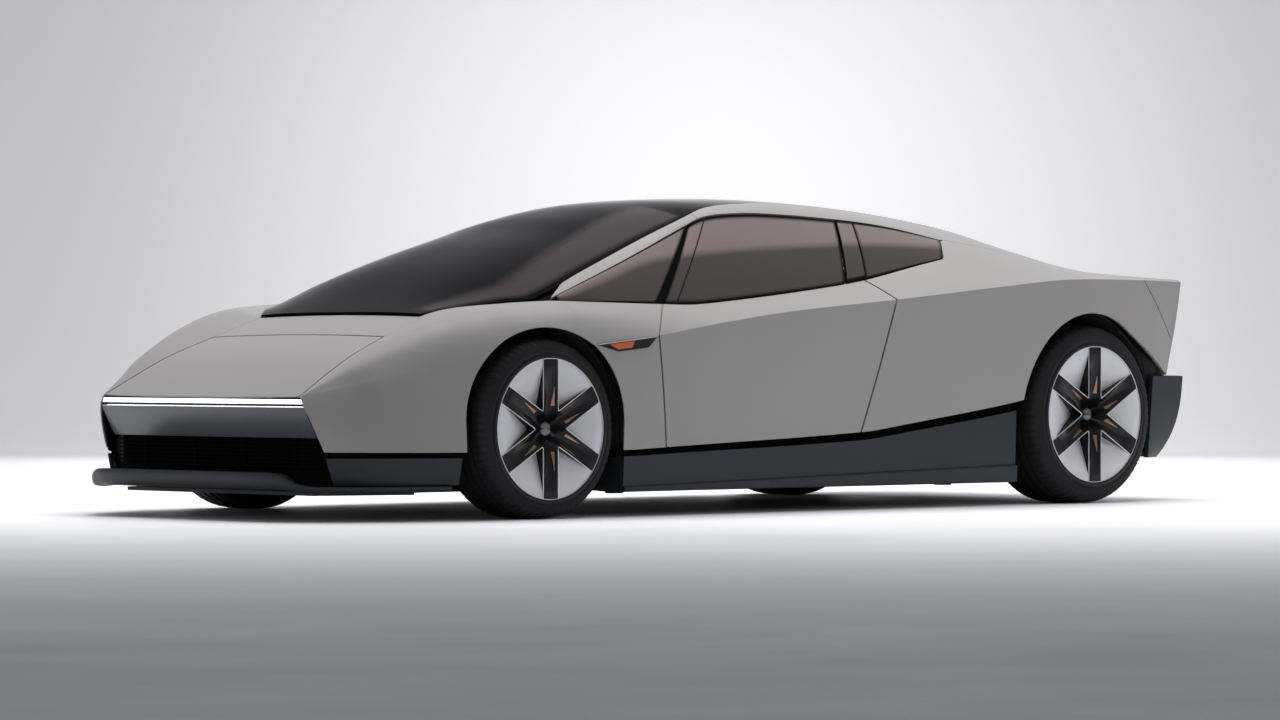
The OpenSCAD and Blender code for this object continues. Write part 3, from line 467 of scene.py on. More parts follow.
def noise(tree, coords, scale, detail=3.0, stretch=None):
    """Noise on object coordinates, stretched by a mapping where the grain has a direction."""
    if stretch:
        coords = add_node(tree, "Mapping", {"Vector": coords, "Scale": stretch}, "Vector")
    return add_node(tree, "TexNoise", {"Vector": coords, "Scale": scale, "Detail": detail}, "Fac")


def spread(tree, value, low, high, first=0.3, last=0.7, kind="LINEAR"):
    """A value mapped to low at first and high at last. Noise usually lies between 0.3 and 0.7."""
    ends = {"From Min": first, "From Max": last, "To Min": low, "To Max": high}
    return add_node(tree, "MapRange", {"Value": value, **ends}, "Result", interpolation_type=kind)


def blend(tree, value, first, second):
    """Colour from first to second as a value goes from 0 to 1."""
    return add_node(tree, "Mix", {0: value, 6: first, 7: second}, 2, data_type="RGBA")


def bump(tree, shader, value, strength, depth):
    """Relief of a given depth, in metres, from a value."""
    relief = {"Height": value, "Strength": strength, "Distance": depth}
    feed(tree, shader, {"Normal": add_node(tree, "Bump", relief, "Normal")})


def opaque(colour, factor=1.0):
    """A colour made lighter or darker by a factor, up to white, with full alpha."""
    return (*np.minimum(np.array(colour, float) * factor, 1), 1)


def finish(name, colour, rough, vary=0.08, mottle=3.0, grain=300.0, relief=0.0, metal=0.0, coat=0.0,
           coat_rough=0.1, stretch=None, sheen=0.0, shine=0.5):
    """Colour with a soft mottle, roughness that follows a finer grain, and relief from the same grain."""
    mat, tree, shader, coords = new_material(name)
    tone = spread(tree, noise(tree, coords, mottle), 0, 1)
    fine = noise(tree, coords, grain, 2.0, stretch)
    feed(tree, shader, {
        "Base Color": blend(tree, tone, opaque(colour, 1 - vary), opaque(colour, 1 + vary)),
        "Roughness": spread(tree, fine, rough * 0.88, min(rough * 1.12, 1)),
        "Metallic": metal, "Coat Weight": coat, "Coat Roughness": coat_rough, "Sheen Weight": sheen,
        "Specular IOR Level": shine})
    if relief:
        bump(tree, shader, fine, 0.6, relief)
    return mat


def leather(name, colour):
    """Leather: cells of a Voronoi grain as relief, with a mottled colour."""
    mat = finish(name, colour, 0.52, 0.16, 9.0, 260.0, sheen=0.1)
    tree = mat.node_tree
    coords = tree.nodes["Texture Coordinate"].outputs["Object"]
    cells = add_node(tree, "TexVoronoi", {"Vector": coords, "Scale": 420}, "Distance")
    bump(tree, tree.nodes["Principled BSDF"], cells, 0.35, 0.0006)
    return mat


def smoked_glass(name, deep, light, see_through):
    """Dark glass with a painted reflection: the mesh attribute tone blends its deep tint towards the colour
    light, a painted reflection, and a black band shows where the attribute rim is 1."""
    mat, tree, shader, coords = new_material(name)
    band = add_node(tree, "Attribute", {}, "Fac", attribute_name="rim")
    tone = add_node(tree, "Attribute", {}, "Fac", attribute_name="tone")
    # Painted reflection: tone mixes the lighter colour into the dark tint
    glass = blend(tree, tone, opaque(deep), opaque(light))
    feed(tree, shader, {
        "Base Color": blend(tree, band, glass, (0.003, 0.003, 0.003, 1)),
        "Alpha": spread(tree, band, 1 - see_through, 1, 0, 1),
        "Roughness": spread(tree, noise(tree, coords, 2.5), 0.06, 0.12),
        "Specular IOR Level": 0.02})
    return mat


def lamp(name, colour, glow, ribs):
    """Lamp lens: a ribbed, coloured plastic that glows, with ribs as waves across the car."""
    mat, tree, shader, coords = new_material(name)
    wave = add_node(tree, "TexWave", {"Vector": coords, "Scale": ribs}, "Fac", bands_direction="Y")
    tint = blend(tree, wave, opaque(colour, 0.9), opaque(colour))
    feed(tree, shader, {
        "Base Color": tint, "Emission Color": tint, "Emission Strength": glow,
        "Roughness": spread(tree, noise(tree, coords, 40), 0.12, 0.2)})
    return mat


PAINT = finish("satin_grey_paint", (0.235, 0.228, 0.224), 0.42, 0.03, 1.5, 900.0, coat=0.12, coat_rough=0.35)
DARK = finish("dark_blue_satin", (0.017, 0.022, 0.028), 0.38, 0.08, 2.0, 700.0, coat=0.03, coat_rough=0.3,
              shine=0.22)
NOSE = finish("nose_blue_satin", (0.066, 0.079, 0.095), 0.34, 0.08, 2.0, 700.0, coat=0.1, coat_rough=0.25)
BLACK = finish("black_trim", (0.006, 0.006, 0.007), 0.5, 0.15, 6.0, 500.0, relief=0.0003, shine=0.25)
GLOSS = finish("gloss_black", (0.006, 0.006, 0.007), 0.24, 0.1, 5.0, 300.0, coat=0.06, coat_rough=0.1,
               shine=0.2)
# Second colour of the screen and side glass: a painted reflection; the roof glass has none
SCREEN_GLASS = smoked_glass("screen_glass", (0.006, 0.0055, 0.007), (0.044, 0.037, 0.039), 0.05)
SIDE_GLASS = smoked_glass("side_glass", (0.060, 0.050, 0.050), (0.165, 0.136, 0.132), 0.12)
ROOF_GLASS = smoked_glass("roof_smoked_glass", (0.008, 0.008, 0.010), (0.008, 0.008, 0.010), 0.06)
RUBBER = finish("tyre_rubber", (0.009, 0.009, 0.010), 0.66, 0.2, 12.0, 420.0, relief=0.0004, shine=0.22)
SEAL = finish("seal_rubber", (0.003, 0.003, 0.003), 0.8, 0.15, 20.0, 600.0, relief=0.0003, shine=0.05)
PANEL = finish("frosted_panel", (0.50, 0.50, 0.53), 0.42, 0.04, 7.0, 500.0, coat=0.1, coat_rough=0.3)
SILVER = finish("turned_silver", (0.72, 0.73, 0.76), 0.24, 0.05, 20.0, 900.0, metal=0.9)
COPPER = finish("copper_accent", (0.36, 0.20, 0.13), 0.3, 0.1, 30.0, 700.0, metal=0.9)
CAP = finish("cap_grey", (0.14, 0.145, 0.15), 0.32, 0.06, 20.0, 700.0, metal=0.5)
STEEL = finish("disc_steel", (0.35, 0.35, 0.36), 0.33, 0.1, 15.0, 300.0, metal=0.9, stretch=(1, 8, 1))
CAST = finish("cast_metal", (0.22, 0.22, 0.23), 0.5, 0.15, 14.0, 260.0, relief=0.0008, metal=0.6)
CHASSIS = finish("chassis_coat", (0.020, 0.021, 0.023), 0.55, 0.2, 8.0, 350.0, relief=0.0004)
FELT = finish("arch_felt", (0.010, 0.010, 0.011), 0.92, 0.3, 30.0, 650.0, relief=0.0015)
CARPET = finish("cabin_carpet", (0.022, 0.022, 0.024), 0.95, 0.35, 40.0, 520.0, relief=0.002, sheen=0.2)
SOFT_BLACK = finish("soft_touch_plastic", (0.020, 0.020, 0.022), 0.6, 0.12, 8.0, 380.0, relief=0.0004)
SEAT_LEATHER = leather("seat_leather", (0.075, 0.066, 0.060))
CARD_LEATHER = leather("card_leather", (0.045, 0.042, 0.040))
WHITE_LAMP = lamp("white_light_bar", (1.0, 1.0, 1.0), 1.7, 60)
RED_LAMP = lamp("red_tail_lens", (0.42, 0.012, 0.012), 0.5, 60)
AMBER_LAMP = lamp("amber_lens", (0.36, 0.07, 0.025), 0.25, 0.1)
SCREEN = finish("dark_screen", (0.008, 0.009, 0.012), 0.1, 0.1, 3.0, 80.0, coat=0.6, coat_rough=0.03)

# Finishes of the CAD nodes that show as they are
for material, bare_nodes in (
        (CHASSIS, "underbody_tray subframes front_frame"),
        (CAST, "battery_pack drive_unit wishbones rear_knuckles door_hinges"),
        (CAST, "front_knuckle_left front_knuckle_right"),
        (FELT, "wheel_liners"),
        (CARPET, "cabin_tub front_load_box rear_load_box"),
        (STEEL, "front_left_hub front_right_hub rear_left_hub rear_right_hub")):
    for bare_node in bare_nodes.split():
        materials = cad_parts[bare_node].data.materials
        materials.clear()
        materials.append(material)


# Painted side panels

def slanted(k, low, crease, top):
    """Station at each height on an edge of two straight slopes that meet on the crease."""
    return np.where(k <= 1, mix(low, crease, held(k)), mix(crease, top, held(k - 1)))


def fender_end(k):
    """Station of the fender's rear edge at each height: furthest forward on the crease."""
    return slanted(k, -592, -534, -660)


def door_front(k):
    """Station of the door's front edge at each height, behind a gap that widens upwards."""
    return fender_end(k) - 7 - held(k) - 3 * held(k - 1)


def door_back(k):
    """Station of the door's rear edge at each height."""
    return slanted(k, -1620, -1788, -1768)


def heights_to(top):
    """Heights from the lower edge evenly to the crease, then evenly to a top."""
    return np.concatenate([np.linspace(0, 1, 20), np.linspace(1, top, 16)[1:]])


def rows(k0, k1, crease, low=16, high=18):
    """Heights up each column: evenly to the crease, then evenly to the top."""
    a = mix(k0[:, None], crease[:, None], np.linspace(0, 1, low))
    b = mix(crease[:, None], k1[:, None], np.linspace(0, 1, high))
    return np.concatenate([a, b[:, 1:]], axis=1)


BAR_Z, FENDER_Z = 425, 252
FRONT_LEAN, FRONT_TUCK = 62, 34
SWEPT_S = 560


def below_bar(z):
    """Share of the way down from the light bar to the fender's lower edge."""
    return held((BAR_Z - np.asarray(z, float)) / (BAR_Z - FENDER_Z)) ** 1.2


def swept(grid):
    """Leans the front end of a side panel back and in below the light bar, fading out towards the wheel."""
    s, z = (grid[..., 0] - AXLE_X) / MM, grid[..., 2] / MM
    share = below_bar(z) * held((s - SWEPT_S) / (NOSE_S - SWEPT_S)) ** 2
    return grid - MM * share[..., None] * np.array([FRONT_LEAN, FRONT_TUCK, 0])


def fender_grid():
    """Front fender from the nose to the door's slanted edge, cut by the wheel arch."""
    turn = np.radians(np.arange(0, 181, 2.5))
    s = np.concatenate([np.linspace(NOSE_S, FRONT_ARCH + 4, 34), FRONT_ARCH * np.cos(turn),
                        np.linspace(-FRONT_ARCH - 4, -440, 6)])
    k0 = cut_at(s, arch(s, 0, FRONT_R / MM, FRONT_ARCH))
    heights = rows(k0, np.full(len(s), 2.0), np.maximum(1, k0 + 0.12 * (2 - k0)))
    f = column(0, 1, 12)[1:]
    back = side(mix(s[-1], fender_end(heights[-1])[None], f), heights[-1][None])
    return swept(np.concatenate([side(s[:, None], heights), back]))


DOOR_K = heights_to(2)


def door_grid(f, k):
    """Points on the door at a share of the way between its two slanted edges."""
    return side(mix(door_front(k)[None], door_back(k)[None], f), k[None])


ARCH_TURN = radians(122)
TURN_S, TURN_Z = REAR_S + REAR_ARCH * np.cos(ARCH_TURN), REAR_R / MM + REAR_ARCH * np.sin(ARCH_TURN)
LINE_S, LINE_Z = -3487, 520


def straight_edge(s):
    """Height of the straight edge that runs on from the rear arch down to the tail."""
    return mix(TURN_Z, LINE_Z, (s - TURN_S) / (LINE_S - TURN_S))


QUARTER_S = -1900


def quarter_grid():
    """Rear quarter from the door's slanted edge, over the wheel arch and its straight rear edge, to the
    tail."""
    turn = np.linspace(0, ARCH_TURN, 50)
    s = np.concatenate([np.linspace(QUARTER_S, -2250, 14), np.linspace(-2262, REAR_S + REAR_ARCH + 4, 12),
                        REAR_S + REAR_ARCH * np.cos(turn), np.linspace(TURN_S, -3420, 16)[1:]])
    k0 = cut_at(s, np.where(s > TURN_S, arch(s, REAR_S, REAR_R / MM, REAR_ARCH), straight_edge(s)))
    k1 = np.where(s > WINDOWS_END, 2, seam(s))
    main = rows(k0, k1, np.ones(len(s)), 20, 16)
    first_s = door_back(DOOR_K) - 9
    f = np.linspace(0, 1, 8, endpoint=False)[:, None]
    front = side(mix(first_s[None], QUARTER_S, f), DOOR_K[None])
    last_k = heights_to(float(seam(np.array(TAIL_S))))
    last_s = np.where(last_k < 1, mix(-3483, TAIL_S, held(last_k)), TAIL_S)
    f = column(0, 1, 12)[1:]
    back = side(mix(s[-1], last_s[None], f), mix(main[-1][None], last_k[None], f))
    return np.concatenate([front, side(s[:, None], main), back])


two_sides("fender_panel", plate(fender_grid(), 0.004), PAINT, "fender_left", bevel=0.0012)
two_sides("quarter_panel", plate(quarter_grid(), 0.012), PAINT, "quarter_left", bevel=0.0015)


def louvre_part():
    """Slotted filler behind the rear wheel: a sheet between the arch and the straight edge, with ridges along
    it."""
    f, g = column(0, 1, 30), row(0, 1, 61)
    angle = mix(ARCH_TURN + 0.05, radians(172), f)
    radius = REAR_ARCH + 9
    low_s, low_z = REAR_S + radius * np.cos(angle), REAR_R / MM + radius * np.sin(angle)
    high_s = mix(TURN_S - 12, -3400, f)
    ridge = 2.5 * (np.sin(g * 2 * pi * 7) > 0)
    return plate(place(mix(low_s, high_s, g), 898.6 + ridge, mix(low_z, straight_edge(high_s) - 3, g)), 0.002)


two_sides("arch_louvre", louvre_part(), BLACK)


def rail_part(first, last, count, foot=None):
    """A stretch of roof rail between two stations, narrowed from its inner edge to a point at the foot."""
    s = np.linspace(first, last, count)
    wide = np.ones((count, 1)) if foot is None else np.clip((foot - s[:, None]) / 120, 0.04, 1)
    return plate(rail(s[:, None], wide * row(0, 1, 14)), 0.012)


RAIL_SEAM, SEAM_HALF = -1092, 1.2
foot_grid = rail(column(-150, -330, 16), row(0, 1, 8))
two_sides("pillar_foot", plate(behind(foot_grid, 0.013), 0.004), SEAL, "roof_rails")
for rail_name, stretch in (("front_pillar", (-170, RAIL_SEAM + SEAM_HALF, 60, -166)),
                           ("roof_rail", (RAIL_SEAM - SEAM_HALF, RAIL_JOIN + 1, 70)),
                           ("buttress", (RAIL_JOIN - 0.5, TAIL_S, 70))):
    two_sides(rail_name, rail_part(*stretch), PAINT, "roof_rails", bevel=0.0012)


# Doors, hollow between the outer panel and a trimmed card
DOOR_DEEP = 0.066
CARD_DEEP = 0.087
OUT = np.array([0, 1, 0])


def cut(obj, part):
    """Takes a closed mesh out of a piece with a boolean that is applied at once."""
    cutter = mesh_object("cutter", part)
    mod = obj.modifiers.new("cut", "BOOLEAN")
    mod.object = cutter
    mod.operation = "DIFFERENCE"
    mod.solver = "EXACT"
    bpy.context.view_layer.update()
    done = bpy.data.meshes.new_from_object(obj.evaluated_get(bpy.context.evaluated_depsgraph_get()))
    obj.modifiers.remove(mod)
    old = obj.data
    obj.data = done
    bpy.data.meshes.remove(old)
    bpy.data.objects.remove(cutter)


def door_parts():
    """Outer door, and a card with an armrest: a ridge along the car just above the crease, over a hollow."""
    outer = door_grid(column(0, 1, 60), DOOR_K)
    door = shell(outer, outer - DOOR_DEEP * OUT)
    first, last, low, high = 0.07, 0.985, 0.06, 1.9
    f = column(first, last, 70)
    k = np.linspace(low, high, 50)
    face = door_grid(f, k)
    along = held(np.minimum(f - first, last - f) / 0.05)
    up = held(np.minimum(k - low, high - k) / 0.1)[None]
    swell = 0.55 + 0.45 * hump(k[None] - 1.05, 0.16) - 0.25 * hump(k[None] - 0.55, 0.2)
    depth = DOOR_DEEP + (CARD_DEEP - DOOR_DEEP) * np.sqrt(along * up) * swell
    card = shell(face - (DOOR_DEEP - 0.002) * OUT, face - (depth + 0.0005)[..., None] * OUT)
    return door, card


door_mesh, card_mesh = door_parts()
doors = two_sides("door_panel", door_mesh, PAINT, "door_left", "left_door")
for door, hand in zip(doors, (1, -1)):
    for hinge_z in (0.340, 0.590):
        pocket = block([0.668, 0.770, hinge_z - 0.026], [0.830, 0.951, hinge_z + 0.020])
        cut(door, pocket if hand > 0 else flip((pocket[0], [f[::-1] for f in pocket[1]])))
    round_edges(door, 0.0015)
two_sides("door_card", card_mesh, CARD_LEATHER, "door_left", "left_door")


# Lids, cowl and tail
ACROSS = row(-1, 1, 61)
GAP = 7
LID = 0.016
NOSE_BOW = 24
TAIL_BOW = 62
TAIL_TOP, TAIL_LEAN, TAIL_HALF = 907, 0.23, 884
DECK_FRONT, DECK_END = -2966, -3562


def bowed(bow, v):
    """How far an end of the car is bowed out: most in the middle, on a parabola."""
    return bow * (1 - v * v)


def deck_grid():
    """Decklid from the rear glass to the bowed tail edge."""
    s = mix(DECK_FRONT, DECK_END - bowed(TAIL_BOW, ACROSS), column(0, 1, 30))
    grid = canopy(np.maximum(s, -3575), ACROSS, 1.8 * GAP)
    grid[..., 0] = AXLE_X + MM * s
    return grid


def tail_grid(z, v, proud=0.0):
    """Tail panel: leaning forward downwards and bowed across."""
    v, z = np.broadcast_arrays(v, z)
    return place(-3576 + (TAIL_TOP - z) * TAIL_LEAN - bowed(TAIL_BOW, v) - proud, v * TAIL_HALF, z)


def nose_x(v):
    """Station of the bowed nose."""
    return NOSE_S + bowed(NOSE_BOW, v)


hood_f = column(0, 1, 60)
hood_grid = bonnet(mix(nose_x(ACROSS) - 5, 421, hood_f), ACROSS, GAP)
hood_thick = mix(0.005, LID, held(hood_f / 0.12))[..., None]
hood = shell(hood_grid, behind(hood_grid, hood_thick))
piece("hood_panel", hood, PAINT, "hood", "front_lid", bevel=0.001)
cowl_grid = bonnet(column(414, 216, 24), ACROSS, 0.6)
piece("cowl", plate(cowl_grid, LID), PAINT, "cowl_panel", bevel=0.0015)
piece("decklid_panel", plate(deck_grid(), LID), PAINT, "decklid", "rear_lid", bevel=0.002)
tail = plate(tail_grid(column(516.4, 880, 30), ACROSS), 0.022)
piece("tail", tail, PAINT, "tail_panel", bevel=0.0015)
tail_lens = plate(tail_grid(column(798, 826, 8), 0.94 * ACROSS, 10), 0.0095)
piece("tail_light_bar", tail_lens, RED_LAMP, "tail_lamp", bevel=0.002)


def quilt(grid):
    """Liner under a lid: a grid moved down, with rounded swellings in rows."""
    n, m = grid.shape[:2]
    swell = 0.003 * np.sqrt(np.abs(np.sin(column(0, pi * 4, n)) * np.sin(row(0, pi * 6, m))))
    top = LID + 0.0006
    return shell(behind(grid, top), behind(grid, (top + 0.003 + swell)[..., None]))


hood_under = bonnet(column(830, 470, 60), row(-0.58, 0.58, 90), GAP)
piece("hood_liner", quilt(hood_under), FELT, "hood", "front_lid")
deck_under = canopy(column(-3090, -3420, 60), row(-0.4, 0.4, 80), GAP)
piece("decklid_liner", quilt(deck_under), FELT, "decklid", "rear_lid")


# Glass
GLASS = 0.006
GLASS_RIM = 0.03
GLASS_TRIM = 0.8


def with_rim(obj, n, m, band_n, band_m, tone):
    """Gives a plate of n by m points two attributes: rim, 1 along its borders and fading over a share of each
    direction, and tone, the share of painted reflection."""
    a = np.minimum(np.linspace(0, 1, n), np.linspace(1, 0, n))[:, None] / band_n
    b = np.minimum(np.linspace(0, 1, m), np.linspace(1, 0, m))[None] / band_m
    rim = held(3 * (1 - np.minimum(a, b)))
    for name, values in (("rim", rim), ("tone", tone)):
        flat = np.broadcast_to(values, (n, m)).reshape(-1)
        attribute = obj.data.attributes.new(name, "FLOAT", "POINT")
        attribute.data.foreach_set("value", np.concatenate([flat, flat]).astype(np.float32))


def dome(name, first, last, count, look, node):
    """A stretch of canopy glass between two stations, with a painted reflection beside the front pillars."""
    v = row(-1, 1, 81)
    s = column(first, last, count)
    obj = piece(name, plate(canopy(s, v, GLASS_TRIM), GLASS), look, node)
    # Tone, the share of painted reflection, rises towards the sides of the glass
    reach = 0.74 - 0.25 * held(-s / 1000)
    with_rim(obj, count, v.size, GLASS_RIM, GLASS_RIM, held((np.abs(v) - reach) / 0.12))


dome("windscreen_glass", 212, -1091.6, 90, SCREEN_GLASS, "windscreen")
base_line = canopy(np.array([[196.0]]), row(-0.97, 0.97, 61), GLASS_TRIM)[0]
base_seal = base_line[:, None] - MM * row(9, 45, 4)[..., None] * np.array([0, 0, 1])
piece("screen_base_seal", plate(base_seal, 0.003), SEAL)
dome("roof_pane", -1092.4, -1949.6, 50, ROOF_GLASS, "roof_glass")
dome("rear_screen", -1950.4, -2959, 70, ROOF_GLASS, "rear_glass")

# Line along the side glass above which a painted reflection lightens it
REFLECTION_LINE = [(-150, 800), (-420, 879), (-800, 975), (-1750, 1040), (-2400, 1038)]


def window(name, stations, low, high, node, bands, body="body"):
    """Side windows, left and right, with a black edge and a painted reflection on the upper part."""
    grid = pane(*stations, low, high, 60, 48)
    s, z = (grid[..., 0] - AXLE_X) / MM, grid[..., 2] / MM
    # Painted reflection: tone rises from 0 below the line to 1 above it
    tone = held((z - curve(REFLECTION_LINE, s)) / 30 + 0.5)
    for obj in two_sides(name, plate(grid, GLASS), SIDE_GLASS, node, body):
        with_rim(obj, *grid.shape[:2], *bands, tone)


window("door_window", (-674, -1656, -1038, -1836), 0.9, 9, "door_glass_left", (0.008, 0.05), "left_door")
window("front_quarter_light", (-182, -632, -190, -1024), 0.9, 2.2, "side_glass", (0.02, 0.04))
window("rear_quarter_light", (-1786.6, -2249, -1930.6, -2361), 0.9, 2.2, "side_glass", (0.02, 0.06))
window("pillar_pane", (-1667, -1786, -1847, -1930), 7, 2.6, "b_pillars", (0.08, 0.06))
strip = pane(-626, -682, -1018, -1046, 2, 4, 5)
two_sides("pillar_strip", plate(behind(strip, 0.0075), 0.004), SEAL, "side_glass")
divider = pane(-734, -741, -1120, -1127, 2, 11, 3)
two_sides("door_divider", plate(behind(divider, -0.0006), 0.003), GLOSS, "door_glass_left", "left_door",
          slot="black_trim")


# Nose: light bar, painted highlight strip, dark panel, mouth in painted shade and blade
FENDER_TOP, FENDER_SLANT = 452, 0.48
BAND_LOW, BAND_TOP = 302, 412


def fender_front(z, half):
    """Half breadth at the slanted front edge of a fender, from its half breadth at the top."""
    return half + (FENDER_TOP - z) * FENDER_SLANT


def nose_half(z):
    """Half breadth of the nose between the slanted front edges of the fenders."""
    return fender_front(z, 594) - FRONT_TUCK * below_bar(z)


def nose_grid(z, recess, trim=1.0):
    """A band across the nose: stations set back by a recess at each height, and breadth between the
    fenders."""
    v = ACROSS.T
    z, recess = np.asarray(z, float)[None], np.asarray(recess, float)[None]
    return place(nose_x(v) - recess, v * (nose_half(z) - trim), z)


bar_z = np.linspace(427, 444, 9)
bar_round = 4 * (np.abs(np.linspace(-1, 1, 9)) ** 4)
light_bar = plate(nose_grid(bar_z, 3 + bar_round, 5), 0.014)
piece("front_light_bar", light_bar, WHITE_LAMP, "light_bar", bevel=0.001)
piece("light_bar_recess", plate(nose_grid(np.linspace(408, 446, 8), np.full(8, 18.5), 3), 0.006), BLACK)
# Painted highlight: a silver strip on the nose panel's upper edge stands in for the light it catches
highlight_z = np.linspace(412.5, 416.5, 5)
piece("nose_highlight_strip", plate(nose_grid(highlight_z, 6 + 1.5 * np.linspace(-1, 1, 5) ** 2, 4), 0.008), SILVER)
band_z = np.linspace(BAND_LOW, BAND_TOP, 24)
band_back = 7 + 68 * ((BAND_TOP - band_z) / (BAND_TOP - BAND_LOW)) ** 1.15
nose_band = plate(nose_grid(band_z, band_back, 2 + (BAND_TOP - band_z) * 0.2), 0.010)
piece("nose_band", nose_band, NOSE, "nose_panel", bevel=0.0012)

FIN_S = 796
MOUTH_TOP = 301
CORNER_LOW, CORNER_TOP = 131, 233
CORNER_IN, CORNER_LEAN = 24, 0.22
# Mouth fins, back, roof and cheeks: black trim, made near black and dull as painted shade inside the mouth
fin_path = place(FIN_S - 12 * np.linspace(-1, 1, 41) ** 2, np.linspace(-600, 600, 41), 0)
fin_section = [(-0.010, -0.001), (0.009, -0.0022), (0.011, 0), (0.009, 0.0022), (-0.010, 0.001)]
fins = [tube(bar_along(fin_path + [0, 0, MM * z], fin_section)) for z in range(196, 296, 15)]
posts = [block([AXLE_X + 0.776, y - 0.004, 0.190], [AXLE_X + 0.784, y + 0.004, 0.300])
         for y in (-0.45, -0.15, 0.15, 0.45)]
piece("mouth_fins", join(fins + posts), SEAL, "grille")
mouth_back = place(775.0, ACROSS.T * 606, row(122, MOUTH_TOP, 8))
piece("mouth_back", plate(mouth_back, 0.004), SEAL, "grille")
mouth_s = mix(771, nose_x(ACROSS) - 78, column(0, 1, 6))
mouth_roof = place(mouth_s, ACROSS * (nose_half(MOUTH_TOP) - 6), MOUTH_TOP + 0.5)
piece("mouth_roof", plate(mouth_roof, 0.005), SEAL, "grille")
cheek_s, cheek_z = column(760, 872, 10), row(CORNER_LOW, 420, 24)
cheek_y = np.where(cheek_z > CORNER_TOP, fender_front(cheek_z, 588),
                   curve(BOTTOM_Y, cheek_s) - CORNER_IN - (FENDER_Z - cheek_z) * CORNER_LEAN)
cheek = swept(place(cheek_s - (cheek_z < CORNER_TOP) * 30, cheek_y, cheek_z))
two_sides("mouth_cheek", plate(cheek, 0.003), SEAL)

BLADE_HALF = 915
BLADE_PLAN = [(BLADE_HALF, 430), (860, 560), (800, 700), (745, 800), (680, 862), (630, 905), (580, 940),
              (480, 968), (300, 978), (0, 981)]
# Section of the blade: shares of its depth back and of its height up
BLADE_BACK = np.array([-1.0, -0.55, -0.12, -0.02, 0.0, -0.03, -0.12, -0.34, -0.7, -1.0])
BLADE_UP = np.array([0.82, 0.96, 1.0, 0.97, 0.86, 0.56, 0.28, 0.1, 0.02, 0.0])


def blade():
    """Front blade: a hollow-backed wing section that stands tall across the nose, and drops to a thin lip
    round each corner, carried along its plan curve."""
    y = BLADE_HALF * np.linspace(-1, 1, 201)
    tall = 1 / (1 + np.exp((np.abs(y) - 592) / 22))
    top = 128 + 52 * tall
    low = 106 + 7 * tall
    depth = 40 + 50 * tall
    path = place(curve(BLADE_PLAN, np.abs(y)), y, 0)
    along = heading(path)
    out = np.stack([along[:, 1], -along[:, 0], 0 * y], -1)
    grid = path[:, None] + MM * depth[:, None, None] * BLADE_BACK[None, :, None] * out[:, None]
    grid[..., 2] = MM * (low[:, None] + (top - low)[:, None] * BLADE_UP[None])
    return tube(grid)


piece("front_blade", blade(), DARK, "splitter", sharp=40)
floor_s = column(430, 900, 20)
floor_half = np.interp(floor_s, [430, 560, 700, 800, 900], [880, 820, 755, 690, 580])
piece("blade_floor", plate(place(floor_s, ACROSS * floor_half, 122.0), 0.010), SEAL)


# Sills, front corners and rear bumper
SILL_FRONT = -385
SILL_S = np.linspace(SILL_FRONT, -2522, 60)
SILL_TOP = curve(BOTTOM_Z, SILL_S)
STRIP = 24 + 15 * np.linspace(0, 1, 60)


def sill_tube(corners):
    """A bar along the sill through corners, each a breadth and a height."""
    return tube(np.stack([place(SILL_S, y, z) for y, z in corners], 1))


def sill_part():
    """Sill: a flat dark panel below the black gap, then a blade that stands proud at the bottom."""
    top = SILL_TOP - STRIP
    step = 112 - (SILL_S - SILL_FRONT) * 0.024
    return sill_tube([(948, top), (945, mix(top, step, 0.5)), (941, step + 3), (950, step - 2),
                      (953, step - 7), (950, 97), (930, 92), (805, 92), (805, top)])


two_sides("sill_panel", sill_part(), DARK, "lower_cladding", sharp=20)
gap_low, gap_top = SILL_TOP - STRIP - 4, SILL_TOP - 8
sill_gap = sill_tube([(906, gap_low), (906, gap_top), (806, gap_top), (806, gap_low)])
two_sides("sill_gap", sill_gap, SEAL, "lower_cladding")


def corner_part():
    """Dark front corner under the fender, from the mouth to the wheel arch."""
    top = CORNER_TOP - 3
    z = row(CORNER_LOW, top, 14)
    s = mix(870 - (top - z) * 0.444, 392, column(0, 1, 40))
    y = curve(BOTTOM_Y, s) - 6 - (top - z) * CORNER_LEAN
    return plate(swept(place(s, y, z)), 0.012)


two_sides("front_corner", corner_part(), DARK, "lower_cladding", bevel=0.0015)
corner_s = column(835, 388, 40)
corner_gap = swept(place(corner_s, curve(BOTTOM_Y, corner_s) - CORNER_IN, row(226, 251, 5)))
two_sides("corner_gap", plate(corner_gap, 0.006), SEAL)

BUMPER_S, BUMPER_BOW = -3590, 70
BUMPER_LOW, BUMPER_TOP = 180, 516


def bumper_grid():
    """Rear bumper: bowed across, tucked under below, and wrapped round each corner as the sweep passes its
    end."""
    wrap = np.linspace(1, 1.25, 14)
    q = np.concatenate([-wrap[::-1], np.linspace(-1, 1, 71)[1:-1], wrap])[:, None]
    z = row(BUMPER_LOW, BUMPER_TOP, 40)
    v = np.clip(q, -1, 1)
    past = np.abs(q) - np.abs(v)
    down = BUMPER_TOP - z
    tuck = 132 * (down / (BUMPER_TOP - BUMPER_LOW)) ** 3 * (1 - 4 * past)
    s = BUMPER_S - bowed(BUMPER_BOW, v) + down * 0.1 + tuck + past * 900
    return place(s, (v + np.sign(q) * past * 0.16) * 896, z)


